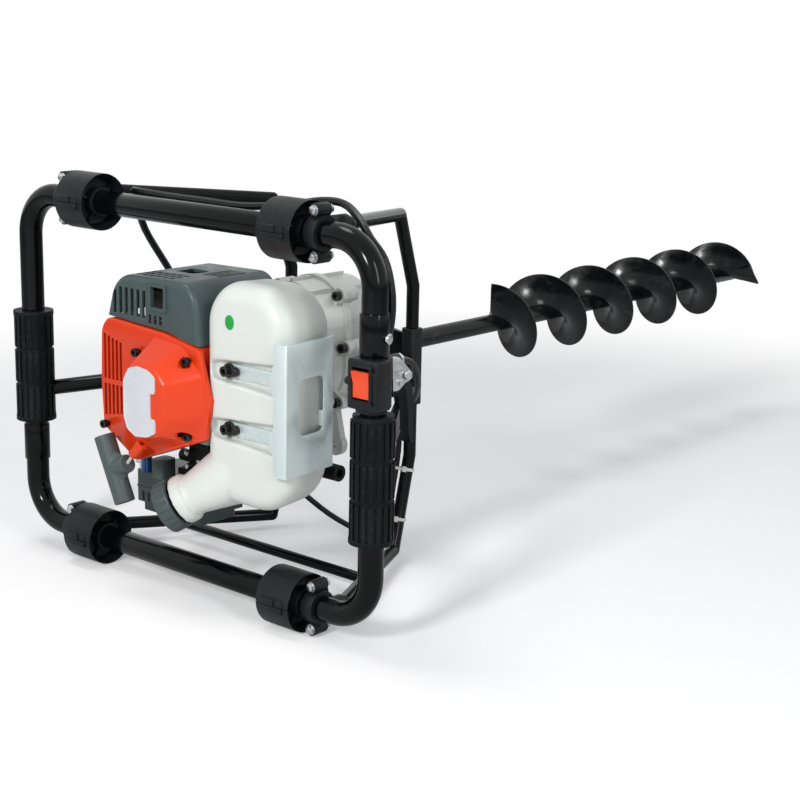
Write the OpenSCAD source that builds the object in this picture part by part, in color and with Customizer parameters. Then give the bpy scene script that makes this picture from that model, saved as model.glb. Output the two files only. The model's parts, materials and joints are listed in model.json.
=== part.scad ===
// Motor auger for ice holes, lying on its handle frame with the bit pointing to +Y.
// Origin: centre of the front handle frame. X left to right grip, Y along the bit, Z up.

/* [Handle frame] */
// Outside diameter of the frame tubes
tube_d = 25; // [22:0.5:28]
// Wall of the frame tubes
tube_wall = 2; // [1.5:0.1:3]
// Distance between the centres of the two grips
frame_w = 506; // [480:1:560]
// Distance between the centres of the top and bottom bars
frame_h = 368; // [350:1:400]
// Centre-line radius of the corner bends
bend_r = 46; // [40:1:60]
// Outside diameter of a grip
grip_d = 44; // [40:0.5:48]
// Length of a grip
grip_len = 124; // [110:1:135]
// Height of the middle of the left grip
left_grip_z = -9; // [-20:1:10]
// Height of the middle of the right grip
right_grip_z = -40; // [-50:1:-30]

/* [Corner buffers] */
// Distance of a buffer from the middle of the bars
buffer_x = 150; // [140:1:155]
// Outside diameter of a buffer
buffer_d = 60; // [54:0.5:64]
// Length of a buffer
buffer_len = 48; // [40:1:50]

/* [Rear frame] */
// Outside diameter of the rear tubes
rear_d = 14; // [12:0.5:16]
// Distance between the upright rear legs
leg_w = 184; // [176:1:190]
// Distance of the upright legs behind the handle frame
leg_y = 245; // [243:1:250]
// Thickness of the gearbox plate
plate_t = 5; // [4:0.5:6]

/* [Power head] */
// Height of the drive axis over the middle of the frame
drive_z = 6; // [0:0.5:10]
// Distance from the front flange of the starter cover to the frame plane
cover_y = 31; // [28:1:34]
// Depth of the raised drum of the starter cover
drum_h = 31; // [26:1:34]
// Wall of the plastic covers
cover_wall = 2.4; // [2:0.1:3]
// Width of the fuel tank
tank_w = 114; // [104:1:118]
// Height of the fuel tank
tank_h = 226; // [216:1:230]
// Depth of the fuel tank
tank_t = 88; // [80:1:92]
// Diameter of the fuel cap
cap_d = 54; // [50:0.5:58]
// Length of the pull handle bar
pull_len = 74; // [66:1:80]

/* [Auger bit] */
// Outside diameter of the flights
flight_d = 100; // [90:1:120]
// Advance of the flights in one turn
flight_pitch = 109; // [100:1:116]
// Diameter of the bit's tube
shaft_d = 22; // [20:0.5:25]
// Thickness of a flight
flight_t = 3.4; // [3:0.1:5]
// Distance of the bit's end behind the handle frame
bit_end = 1098; // [1060:1:1160]

/* [Hidden] */

$fn = 48;
eps = 0.01;          // overlap that makes a clean cut
run = 0.05;          // radial clearance of a running fit
seat = 0.05;         // radial clearance of a clamped fit
gap = 0.3;           // clearance between parts that do not touch
half_w = frame_w / 2;
half_h = frame_h / 2;

// ---------- helpers ----------
module at_corners() {
    for (sx = [-1, 1], sz = [-1, 1]) translate([sx * buffer_x, 0, sz * half_h]) children();
}
module x_cyl(d, l) { rotate([0, 90, 0]) cylinder(d = d, h = l, center = true); }
module y_cyl(d, l) { rotate([-90, 0, 0]) cylinder(d = d, h = l); }
module y_tube(d, bore, l) {
    difference() {
        y_cyl(d, l);
        translate([0, -1, 0]) y_cyl(bore, l + 2);
    }
}
// round rod between two points
module rod(a, b, d) {
    v = b - a;
    translate(a) rotate([0, acos(v.z / norm(v)), atan2(v.y, v.x)]) cylinder(d = d, h = norm(v));
}
// rod through a list of points, with a round elbow at each inner one
module taper(a, b, d1, d2) {
    v = b - a;
    translate(a) rotate([0, acos(v.z / norm(v)), atan2(v.y, v.x)]) rotate([0, 0, 130])
        cylinder(d1 = d1, d2 = d2, h = norm(v));
}
module bent_rod(p, d) {
    for (i = [0 : len(p) - 2]) rod(p[i], p[i + 1], d);
    for (i = [1 : len(p) - 2]) translate(p[i]) sphere(d = d + 0.1);
}
// flat outline in X and Z, raised along +Y from y
module plate_y(y, t) { translate([0, y + t, 0]) rotate([90, 0, 0]) linear_extrude(t) children(); }
module rounded(w, h, r) {
    for (sx = [-1, 1], sy = [-1, 1]) translate([sx * (w / 2 - r), sy * (h / 2 - r)]) circle(r);
    square([w - 2 * r, h], center = true);
    square([w, h - 2 * r], center = true);
}
module on_drive(y) { translate([0, y, drive_z]) children(); }

// ---------- handle frame ----------
joint_gap = 0.2;     // gap between the two tube ends inside a buffer
clamp_x = buffer_x + buffer_len / 2 + 10;
clamp_w = 14;
bolt_off = 22;       // clamp bolts above and below the tube
clamp_bolt_d = 6;
straight_h = half_h - bend_r;

module u_path(d, over) {
    reach = half_w - bend_r - buffer_x - joint_gap + over;
    for (s = [0, 1]) mirror([0, 0, s]) {
        translate([half_w - bend_r - reach, 0, half_h]) rotate([0, 90, 0]) cylinder(d = d, h = reach);
        translate([half_w - bend_r, 0, straight_h]) rotate([90, 0, 0])
            rotate_extrude(angle = 90) translate([bend_r, 0]) circle(d = d);
    }
    translate([half_w, 0, -straight_h]) cylinder(d = d, h = 2 * straight_h);
}
module handle_tube() {
    color([0.05, 0.05, 0.06]) difference() {
        u_path(tube_d, 0);
        u_path(tube_d - 2 * tube_wall, 1);
    }
}
module left_handle_tube() { mirror([1, 0, 0]) handle_tube(); }
module right_handle_tube() { handle_tube(); }
module cross_bar(z) {
    color([0.05, 0.05, 0.06]) translate([0, 0, z]) difference() {
        x_cyl(tube_d, 2 * (buffer_x - joint_gap));
        x_cyl(tube_d - 2 * tube_wall, 2 * buffer_x + 2);
    }
}
module top_bar() { cross_bar(half_h); }
module bottom_bar() { cross_bar(-half_h); }

// Thick ring in two halves, hollow at both ends with ribs in the hollow.
module buffer_half(up) {
    recess = 15;
    rim = 4;
    hub = tube_d / 2 + 5;
    difference() {
        rotate([0, 90, 0]) translate([0, 0, -buffer_len / 2]) rotate_extrude(angle = 360)
            polygon([[tube_d / 2 + seat, 0], [hub, 0], [hub, recess], [buffer_d / 2 - rim, recess],
                [buffer_d / 2 - rim, 0], [buffer_d / 2 - 2, 0], [buffer_d / 2 - 1, 3],
                [buffer_d / 2 - 1, buffer_len * 0.34], [buffer_d / 2, buffer_len * 0.38],
                [buffer_d / 2, buffer_len - 3], [buffer_d / 2 - 2, buffer_len],
                [buffer_d / 2 - rim, buffer_len], [buffer_d / 2 - rim, buffer_len - recess],
                [hub, buffer_len - recess], [hub, buffer_len], [tube_d / 2 + seat, buffer_len]]);
        // parting plane, stepped as on the moulding
        translate([-buffer_len, -buffer_d, up > 0 ? -buffer_d : 0.1])
            cube([2 * buffer_len, 2 * buffer_d, buffer_d - (up > 0 ? 0.1 : 0)]);
    }
    // ribs in the hollow ends
    for (e = [-1, 1], a = [30 : 40 : 150]) rotate([a * up - 90, 0, 0])
        translate([e * (buffer_len / 2 - recess / 2 - 2) - (recess - 2) / 2, -1.2, hub - 0.5])
            cube([recess - 2, 2.4, buffer_d / 2 - rim - hub + 1]);
    // clamping ear with its step
    translate([-buffer_len * 0.3, -buffer_d / 2 - 2.5, up > 0 ? 0.1 : -7.1])
        cube([buffer_len * 0.6, 8, 7]);
}
module corner_buffer(sx, sz) {
    color([0.07, 0.07, 0.07]) translate([sx * buffer_x, 0, sz * half_h]) {
        buffer_half(1);
        buffer_half(-1);
    }
}
module upper_left_buffer() { corner_buffer(-1, 1); }
module upper_right_buffer() { corner_buffer(1, 1); }
module lower_left_buffer() { corner_buffer(-1, -1); }
module lower_right_buffer() { corner_buffer(1, -1); }

// ---------- grips ----------
strut_d = 17;
strut_z = -38;
strut_end_z = -14;
rib_n = 18;
module grip_body(low_flange, high_flange) {
    sect = grip_len / 3;
    difference() {
        union() {
            cylinder(d = grip_d - 5, h = grip_len, center = true);
            for (i = [-1 : 1]) translate([0, 0, i * (sect - 2) - sect / 2 + 3]) linear_extrude(sect - 6)
                difference() {
                    circle(d = grip_d - 1);
                    for (k = [0 : rib_n - 1]) rotate(k * 360 / rib_n)
                        translate([grip_d / 2, 0]) square([4, 3], center = true);
                }
            if (low_flange) translate([0, 0, -grip_len / 2]) cylinder(d = grip_d, h = 5);
            if (high_flange) translate([0, 0, grip_len / 2 - 5]) cylinder(d = grip_d, h = 5);
        }
        cylinder(d = tube_d + 2 * seat, h = grip_len + 2, center = true);
    }
}
module strut_line(side, d) {
    rod([side * half_w, 0, strut_z], [side * leg_w / 2, leg_y, strut_end_z], d);
}
module left_grip() {
    color([0.06, 0.06, 0.06]) difference() {
        translate([-half_w, 0, left_grip_z]) grip_body(true, true);
        strut_line(-1, strut_d + 1.6);
    }
}
module right_grip() {
    color([0.06, 0.06, 0.06]) difference() {
        translate([half_w, 0, right_grip_z]) grip_body(true, false);
        strut_line(1, strut_d + 1.6);
    }
}

// sleeves over the tube joints: above the right grip and below the left one, each with a bolt
collar_t = 1.6;
collar_len = 40;
left_collar_z = left_grip_z - grip_len / 2 - 26;
right_collar_z = 98;
module collar(x, z) {
    translate([x, 0, z]) difference() {
        union() {
            cylinder(d = tube_d + 2 * collar_t, h = collar_len, center = true);
            rotate([0, 0, 35]) translate([tube_d / 2, 0, 0]) x_cyl(9, 6);
        }
        cylinder(d = tube_d + 2 * seat, h = collar_len + 2, center = true);
    }
}
module tube_collars() {
    color([0.05, 0.05, 0.06]) {
        collar(-half_w, left_collar_z);
        collar(half_w, right_collar_z);
    }
}

// ---------- rear frame ----------
rear_top = 175;      // height of the upper rear corners
rear_low = 199;      // depth of the lower rear corners
leg_straight = 95;   // half length of the upright stretch
corner_in = 28;      // rear corners stand this far in front of the legs
rear_wall = 1.5;
clamp_back = 20;     // rear tubes end this far behind the bars
function rear_path() = [
    [clamp_x, clamp_back, half_h + 6],
    [clamp_x, clamp_back + 18, half_h + 6],
    [leg_w / 2 + 3, leg_y - corner_in, rear_top],
    [leg_w / 2, leg_y, leg_straight],
    [leg_w / 2, leg_y, -leg_straight],
    [leg_w / 2 + 3, leg_y - corner_in, -rear_low],
    [clamp_x, clamp_back + 18, -half_h - 6],
    [clamp_x, clamp_back, -half_h - 6]];
module rear_tube() {
    color([0.05, 0.05, 0.06]) difference() {
        bent_rod(rear_path(), rear_d);
        bent_rod(rear_path(), rear_d - 2 * rear_wall);
    }
}
module right_rear_tube() { rear_tube(); }
module left_rear_tube() { mirror([1, 0, 0]) rear_tube(); }

// saddle round each bar with the socket that the rear tube is fixed in
module clamp_at(s) {
    a = rear_path()[s > 0 ? 0 : 7];
    b = rear_path()[s > 0 ? 1 : 6];
    difference() {
        union() {
            translate([clamp_x, 0, s * half_h]) x_cyl(tube_d + 9, clamp_w);
            for (k = [-1, 1]) translate([clamp_x, 0, s * half_h + k * bolt_off]) rotate([-90, 0, 0])
                cylinder(d = 13, h = 18, center = true);
            rod(a + [0, -9, 0], b - [0, 4, 0], rear_d + 5);
        }
        translate([clamp_x, 0, s * half_h]) x_cyl(tube_d + 2 * seat, 60);
        bent_rod([a, b], rear_d + 2 * seat);
        for (k = [-1, 1]) translate([clamp_x, 0, s * half_h + k * bolt_off]) rotate([-90, 0, 0])
            cylinder(d = clamp_bolt_d + 0.4, h = 40, center = true);
    }
}
module frame_clamps() {
    color([0.08, 0.08, 0.08]) for (m = [0, 1], s = [-1, 1]) mirror([m, 0, 0]) clamp_at(s);
}
module hex_bolt(d, l) {
    cylinder(d = d, h = l);
    translate([0, 0, -d * 0.65]) cylinder(d = d * 1.8, h = d * 0.65, $fn = 6);
}
module clamp_bolts() {
    color([0.75, 0.76, 0.78]) for (m = [0, 1], s = [-1, 1], k = [-1, 1]) mirror([m, 0, 0])
        translate([clamp_x, -9 - eps, s * half_h + k * bolt_off]) rotate([-90, 0, 0]) {
            hex_bolt(clamp_bolt_d, 27);
            translate([0, 0, 18 + 2 * eps]) cylinder(d = clamp_bolt_d * 1.8, h = 5, $fn = 6);
        }
    // bolts of the two tube collars
    color([0.75, 0.76, 0.78]) for (p = [[-half_w, left_collar_z], [half_w, right_collar_z]])
        translate([p[0], 0, p[1]]) rotate([0, 0, 35]) translate([tube_d / 2 + 3 + eps, 0, 0])
            rotate([0, 90, 0]) cylinder(d = 8, h = 3.5, $fn = 6);
}

pad_w = 18;
pad_h = 85;
module leg_pads() {
    color([0.06, 0.06, 0.06]) for (s = [-1, 1]) translate([s * leg_w / 2, leg_y, drive_z])
        difference() {
            translate([0, 0, -pad_h / 2]) linear_extrude(pad_h) rounded(pad_w, pad_w, 4);
            cylinder(d = rear_d + 2 * seat, h = pad_h + 2, center = true);
        }
}
cross_y = 112;       // the low cross bar joins the two lower rear legs here
cross_d = 11;
module frame_braces() {
    a = rear_path()[6];
    b = rear_path()[5];
    at = a + (b - a) * (cross_y - a.y) / (b.y - a.y);
    color([0.06, 0.06, 0.06]) difference() {
        translate([0, cross_y, at.z]) x_cyl(cross_d, 2 * at.x);
        for (m = [0, 1]) mirror([m, 0, 0]) bent_rod([a, b], rear_d + 2 * seat);
    }
    color([0.13, 0.13, 0.13]) for (s = [-1, 1]) difference() {
        strut_line(s, strut_d);
        translate([s * half_w, 0, strut_z]) cylinder(d = tube_d + 2 * seat, h = 80, center = true);
        translate([s * leg_w / 2 - pad_w, leg_y - pad_w / 2 - seat, drive_z - pad_h / 2])
            cube([2 * pad_w, pad_w * 2, pad_h]);
    }
}

// plate between the legs that carries the gearbox
case_r = 47;         // radius of the gearbox case
gear_m = 1.4;        // module of the gears
small_z = 11;
big_z = 55;
gear_a = gear_m * (small_z + big_z) / 2;   // distance between gear shafts
case_front = 150;
case_joint = 188;
case_back = 238;
nose_d = 46;
nose_len = 16;
case_bolt_n = 6;
function case_bolts() = [for (s = [-1, 1]) each [[s * (case_r + 4), -6], [s * (case_r + 4), gear_a + 4],
    [s * 34, -42]]];
plate_arm = 74;      // height of the plate's arms at the legs
module gearbox_plate() {
    arm_x = leg_w / 2 - pad_w / 2 - seat;
    color([0.06, 0.06, 0.06]) difference() {
        plate_y(case_back + seat, plate_t) translate([0, drive_z]) union() {
            circle(r = case_r + 4);
            translate([0, gear_a / 2]) square([2 * case_r, gear_a], center = true);
            polygon([[-arm_x, -plate_arm / 2], [0, -plate_arm / 2 - 8], [arm_x, -plate_arm / 2],
                [arm_x, plate_arm / 2], [0, plate_arm / 2 + 12], [-arm_x, plate_arm / 2]]);
        }
        on_drive(case_back - 1) y_cyl(nose_d + 2 * gap, plate_t + 4);
        for (a = [45 : 90 : 315]) on_drive(case_back - 1) rotate([0, a, 0]) translate([34, 0, 0])
            y_cyl(6.4, plate_t + 4);
    }
}

// ---------- controls on the right tube ----------
ctrl_z = 51;         // middle of the switch housing and of the throttle perch
ctrl_h = 52;
ctrl_r = 17;         // outer radius of the clamp round the tube
rocker_w = 22;
rocker_h = 30;
module switch_housing() {
    color([0.07, 0.07, 0.07]) translate([half_w, 0, ctrl_z]) difference() {
        union() {
            translate([0, 0, -ctrl_h / 2]) linear_extrude(ctrl_h) intersection() {
                union() {
                    circle(r = ctrl_r);
                    translate([-4.5, -11]) rounded(35, 20, 4);
                }
                translate([-40, -40]) square([80, 40 - 0.1]);
            }
            translate([-ctrl_r - 7, -12, -6]) rotate([0, 90, 0]) cylinder(d = 9, h = 8);
        }
        cylinder(d = tube_d + 2 * seat, h = ctrl_h + 2, center = true);
        // pocket of the rocker
        translate([-4.5 - rocker_w / 2 - gap, -22, -rocker_h / 2 - gap])
            cube([rocker_w + 2 * gap, 9, rocker_h + 2 * gap]);
    }
}
// red rocker: two pads that meet in a shallow V over its pivot
module stop_rocker() {
    color([0.85, 0.16, 0.05]) translate([half_w - 4.5 - rocker_w / 2, -15.6, ctrl_z])
        rotate([6, 0, 0]) rotate([90, 0, 90]) linear_extrude(rocker_w)
            polygon([[-1, -rocker_h / 2 + 2], [1, -rocker_h / 2 + 7], [1, rocker_h / 2 - 7],
                [-1, rocker_h / 2 - 2], [-8.5, rocker_h / 2 - 1.2], [-6.2, 0],
                [-7.8, -rocker_h / 2 + 1.2]]);
}
lever_piv = [half_w + 3, 31, ctrl_z + 6];
lever_t = 11;
pin_d = 5;
barrel_d = 9;
module throttle_perch() {
    color([0.45, 0.46, 0.47]) difference() {
        union() {
            translate([half_w, 0, ctrl_z - ctrl_h / 2]) linear_extrude(ctrl_h) intersection() {
                circle(r = ctrl_r);
                translate([-40, 0.1]) square([80, 40]);
            }
            // fork that holds the lever
            for (s = [-1, 1]) translate(lever_piv + [s * (lever_t / 2 + gap + 2.5), 0, 0]) {
                x_cyl(13, 5);
                translate([-2.5, -lever_piv.y + 13, -6.2]) cube([5, lever_piv.y - 13, 12.4]);
            }
            // barrel of the cable adjuster
            translate([half_w + 3, 14, ctrl_z + 19]) y_cyl(barrel_d + 4.4, 20);
        }
        translate([half_w, 0, ctrl_z]) cylinder(d = tube_d + 2 * seat, h = ctrl_h + 2, center = true);
        translate(lever_piv) x_cyl(pin_d + 2 * seat, 40);
        translate([half_w + 3, 18, ctrl_z + 19]) y_cyl(cable_d + 2 * seat, 20);
        translate([half_w + 3, 26.5, ctrl_z + 19]) y_cyl(cable_d + 2.4, 20);
    }
}
module lever_pin() {
    color([0.7, 0.7, 0.72]) translate(lever_piv) {
        x_cyl(pin_d, lever_t + 12);
        translate([lever_t / 2 + 6 + 1, 0, 0]) x_cyl(8, 2);
    }
}
module throttle_lever() {
    color([0.08, 0.08, 0.08]) translate(lever_piv) difference() {
        union() {
            x_cyl(12, lever_t);
            translate([-lever_t / 2, 0, 0]) rotate([90, 0, 90]) linear_extrude(lever_t)
                polygon([[-3, 5], [6, 2], [13, -14], [15, -34], [12, -58], [9, -66], [6, -66],
                    [6, -57], [9, -34], [7, -17], [0, -6]]);
        }
        x_cyl(pin_d + 2 * run, lever_t + 2);
    }
}

// ---------- cable and wire ----------
cable_d = 6.5;
wire_d = 8;
cable_sides = 8;
// hand-chosen points of the two routes
cable_route = [[256, 20, 70], [256, 27, 70], [256, 34.5, 70], [252, 58, 60], [238, 82, 34], [212, 106, 12],
    [176, 134, -3], [140, 172, -4], [118, 193, -3], [100, 207, -3], [88, 222, -13], [84, 231, -32],
    [83, 236.3, -62], [83, 236.5, -90], [84, 228.5, -125], [85, 219, -160], [84, 208, -180],
    [76, 188, -176], [60, 150, -150], [42, 112, -112], [27, 84, -78], [21.5, 64, -60],
    [20.5, 54, -56], [20.5, 49.5, -56]];
wire_route = [[-64, 80, 40], [-64, 88, 40], [-66, 95, 41], [-82, 100, 48], [-106, 98, 70], [-124, 82, 110],
    [-130, 58, 150], [-121, 40, 180], [-112, 27, 195], [-90, 20, 197], [-50, 20, 196], [0, 20, 196],
    [60, 20, 196], [112, 28, 201], [150, 37, 208], [180, 36, 208], [206, 28, 198], [228, 20, 182],
    [246, 20, 164], [254, 21, 138], [255, 21, 112], [250, 21, 88], [246, 19, 79]];
function spline(a, b, c, d, t) = 0.5 * (2 * b + (c - a) * t + (2 * a - 5 * b + 4 * c - d) * t * t
    + (3 * b - a - 3 * c + d) * t * t * t);
function smooth(p, n) = let (last = len(p) - 1) concat(
    [for (i = [0 : last - 1], j = [0 : n - 1])
        spline(p[max(i - 1, 0)], p[i], p[i + 1], p[min(i + 2, last)], j / n)], [p[last]]);
function unit(v) = v / norm(v);
function along(p) = [for (i = [0 : len(p) - 1]) unit(p[min(i + 1, len(p) - 1)] - p[max(i - 1, 0)])];
function sideways(t, i, s) = i >= len(t) ? [] :
    let (n = unit(s - (s * t[i]) * t[i])) concat([n], sideways(t, i + 1, n));
module sweep(p, d, k) {
    t = along(p);
    n = sideways(t, 0, [0.1, 0.2, 1]);
    last = len(p) - 1;
    polyhedron(
        [for (i = [0 : last], j = [0 : k - 1]) p[i] + d / 2 * (cos(360 * j / k) * n[i]
            + sin(360 * j / k) * cross(t[i], n[i]))],
        concat([[for (j = [0 : k - 1]) j]],
            [for (i = [0 : last - 1], j = [0 : k - 1])
                [i * k + j, (i + 1) * k + j, (i + 1) * k + (j + 1) % k, i * k + (j + 1) % k]],
            [[for (j = [0 : k - 1]) last * k + k - 1 - j]]));
}
module throttle_cable() { color([0.05, 0.05, 0.05]) sweep(smooth(cable_route, 4), cable_d, cable_sides); }
module stop_wire() { color([0.05, 0.05, 0.05]) sweep(smooth(wire_route, 4), wire_d, cable_sides); }
tie_w = 3.5;
// band round the rear tube and the cable beside it, with its lock
module band(r, l) {
    circle(r);
    translate([l, 0]) circle(r);
    translate([0, -r]) square([l, 2 * r]);
}
module tie(p) {
    translate(p) rotate([-15.07, -1.6, 0]) rotate(-137) {
        linear_extrude(tie_w, center = true) difference() {
            band(rear_d / 2 + gap + 1.2, 8.6);
            band(rear_d / 2 + gap, 8.6);
        }
        translate([1, rear_d / 2 + gap + 0.6, -3]) cube([5, 4, 6]);
    }
}
module cable_ties() {
    color([0.9, 0.9, 0.88]) {
        tie([leg_w / 2 + 0.46, leg_y - 4.3, -111]);
        tie([leg_w / 2 + 2.02, leg_y - 18.85, -165]);
    }
}

// ---------- starter cover ----------
// outline, clockwise from the upper left
cover_pts = [[-99, 59], [-89, 71.5], [-1, 66], [49, 56], [65, 7], [58, -34], [-47, -75],
    [-98, -46], [-101, 2]];
drum_foot = [[-46, 32], [-16, 61], [26, 58], [56, 30], [59, -10], [46, -36], [-18, -62], [-46, -40]];
drum_top = [[-29, 24], [-15, 39], [14, 38], [30, 22], [30, -16], [17, -33], [-14, -38], [-29, -24]];
cover_back = 2;      // back edge of the cover
cover_screw_at = [[-39, 42], [37, 44], [38, -33], [-90, -42]];
drum_face = cover_y + drum_h;
pulley_r = 28;
rope_r = 26;         // radius that the starter rope winds on
rope_d = 3.5;
rope_out = [-36, -48, -67];      // the rope leaves the cover here
rope_in = [-16, -48, -47];
pull_dir = [-0.902, 0, -0.431];
post_d = 10;
function inset(p, d) = [for (i = [0 : len(p) - 1]) let (q = len(p), u = unit(p[i] - p[(i + q - 1) % q]),
    v = unit(p[(i + 1) % q] - p[i]), m = [u.y, -u.x], n = [v.y, -v.x])
    p[i] + d * (m + n) / (1 + m * n)];
lip_t = 5.4;         // the lip that covers the tank's edge
side_wall_x = 46.5;  // behind the lip the cover stops here, beside the tank
module beside_tank(x) {
    intersection() {
        children();
        translate([-200, -200]) square([200 + x, 400]);
    }
}
module drum_form(off) {
    hull() {
        plate_y(-cover_y - 0.5, 1) polygon(inset(drum_foot, off));
        plate_y(-drum_face + off, 0.5) polygon(inset(drum_top, off));
    }
}
module starter_cover() {
    color([0.93, 0.22, 0.04]) {
        difference() {
            union() {
                plate_y(-cover_y, lip_t) polygon(cover_pts);
                plate_y(-cover_y, cover_y + cover_back) beside_tank(side_wall_x) polygon(cover_pts);
                drum_form(0);
                rod(rope_out, rope_in, 12);
                // web under the rope outlet
                translate([-40, -54.2, -69]) cube([10, 24.2, 12]);
            }
            difference() {
                union() {
                    plate_y(-cover_y + cover_wall, cover_y + 10) beside_tank(side_wall_x - cover_wall)
                        polygon(inset(cover_pts, cover_wall));
                    drum_form(cover_wall);
                    plate_y(-cover_y - 2, 6) polygon(inset(drum_foot, cover_wall + 0.8));
                }
                // bosses of the cover screws
                for (p = cover_screw_at) translate([p[0], -cover_y, p[1]]) y_cyl(12, cover_y + cover_back);
                on_drive(-drum_face + 1) y_cyl(post_d + 6, 6);
            }
            rod(rope_out - [3, 0, 3], rope_in + [8, 0, 8], rope_d + 1.5);
            for (p = cover_screw_at) translate([p[0], 0, p[1]]) {
                translate([0, -cover_y - 33.2, 0]) y_cyl(14, 30);
                translate([0, -cover_y - 10, 0]) y_cyl(5.4, 60);
            }
            // air slots beside the drum, in two rows
            for (i = [0 : 4]) {
                translate([-95 + 5.6 * i, -cover_y - 1, 6 - (i > 3 ? 0 : 2)]) cube([2.8, 6, 40 - 0.4 * i]);
                translate([-95 + 5.6 * i, -cover_y - 1, -31]) cube([2.8, 6, 29]);
            }
            // slots in the left side
            for (i = [0 : 4]) translate([-110, -24 + 5 * i, -30]) cube([20, 2.6, 70]);
            // slots in the bottom
            for (i = [0 : 5]) translate([-30 + 12 * i, -22, -80]) cube([6, 18, 60]);
        }
        // post that the pulley turns on
        on_drive(-drum_face + 3) y_cyl(post_d, 22);
        // slats between the air slots
        for (i = [0 : 3]) translate([-91.7 + 5.6 * i, -cover_y + cover_wall - 0.4, -36]) cube([1.6, 5, 80]);
    }
}
module cap_screw(d, l) {
    translate([0, -l, 0]) y_cyl(d, l);
    translate([0, -l - d, 0]) difference() {
        y_cyl(d * 1.75, d);
        translate([0, -1, 0]) rotate([-90, 0, 0]) cylinder(d = d, h = d * 0.6 + 1, $fn = 6);
    }
}
module cover_screws() {
    color([0.08, 0.08, 0.09]) for (p = cover_screw_at)
        translate([p[0], cover_back + 11, p[1]]) cap_screw(5, cover_back + 11 + cover_y + 3.2);
}
module cover_panel() {
    color([0.86, 0.86, 0.87]) plate_y(-drum_face - 1.25, 1.2) polygon([[-27, 20], [-19, 33], [-6, 37],
        [10, 35], [20, 29], [20, 12], [13, 12], [13, -14], [20, -14], [20, -28], [8, -34], [-10, -36],
        [-22, -30], [-27, -18]]);
}
module starter_pulley() {
    color([0.8, 0.8, 0.78]) on_drive(-52) rotate([-90, 0, 0]) {
        difference() {
            union() {
                rotate_extrude(angle = 360) polygon([[post_d / 2 + run, 0], [pulley_r, 0],
                    [pulley_r, 3], [rope_r - rope_d / 2, 3.6], [rope_r - rope_d / 2, 8.4], [pulley_r, 9],
                    [pulley_r, 12], [14, 12], [14, 15], [post_d / 2 + run, 15]]);
                // pawls of the free wheel
                for (a = [0, 180]) rotate(a) translate([16, -3, 11.5]) cube([9, 6, 4]);
            }
            for (a = [30 : 60 : 330]) rotate(a) translate([18, 0, -1]) cylinder(d = 7, h = 12);
        }
        // turns of the rope
        rotate_extrude(angle = 360) translate([rope_r, 6]) circle(d = rope_d, $fn = 24);
    }
}
grip_mid = [-61, -48, -83];
module pull_handle() {
    up = [0.431, 0, -0.902];
    stem = grip_mid - pull_dir * 20.6;
    color([0.2, 0.22, 0.23]) difference() {
        union() {
            rod(grip_mid - up * pull_len / 2, grip_mid + up * pull_len / 2, 21);
            rod(grip_mid, stem, 17);
        }
        rod(grip_mid - pull_dir * 12, stem - pull_dir * 5, rope_d);
        for (s = [-1, 1]) rod(grip_mid + s * up * pull_len * 0.4, grip_mid + s * up * pull_len * 0.6, 14);
    }
    // start of the rope
    color([0.9, 0.9, 0.88]) bent_rod([grip_mid - pull_dir * 11, stem - pull_dir * 1.5,
        rope_out - [1.5, 0, 1.5]], rope_d - 0.1);
}

// ---------- engine ----------
fan_d = 84;
crank_d = 15;
fan_y = -26;
flywheel_t = 20;
module flywheel() {
    color([0.62, 0.63, 0.65]) on_drive(fan_y) rotate([-90, 0, 0]) difference() {
        union() {
            cylinder(d = 34, h = flywheel_t);
            translate([0, 0, flywheel_t - 6]) cylinder(d = fan_d, h = 6);
            for (a = [0 : 30 : 330]) rotate(a) translate([15, -1.2, 3]) cube([fan_d / 2 - 16, 2.4, 12]);
            // magnets in the rim
            for (a = [0, 24]) rotate(a) translate([fan_d / 2 - 14, -6, 2]) cube([12, 12, 13]);
        }
        translate([0, 0, -1]) cylinder(d = crank_d + 2 * seat, h = flywheel_t + 2);
        // ratchet pockets that the starter pawls catch
        for (a = [0 : 60 : 300]) rotate(a) translate([12, -2.5, -1]) cube([8, 5, 3]);
    }
}
crank_back = 101;
module crankshaft() {
    color([0.7, 0.71, 0.73]) on_drive(0) {
        translate([0, fan_y - 5, 0]) y_cyl(crank_d, 61);
        translate([0, fan_y - 5.6, 0]) rotate([-90, 0, 0]) cylinder(d = 22, h = 5.5, $fn = 6);
        translate([0, 29, 0]) y_cyl(54, 8);
        translate([-19, 36, 0]) y_cyl(13, 12);
        translate([0, 47, 0]) y_cyl(54, 8);
        translate([0, 54, 0]) y_cyl(crank_d, crank_back - 54);
    }
}
crankcase_back = 76;
plate_y0 = cover_back + 0.05;
tank_left = 47;
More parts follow.
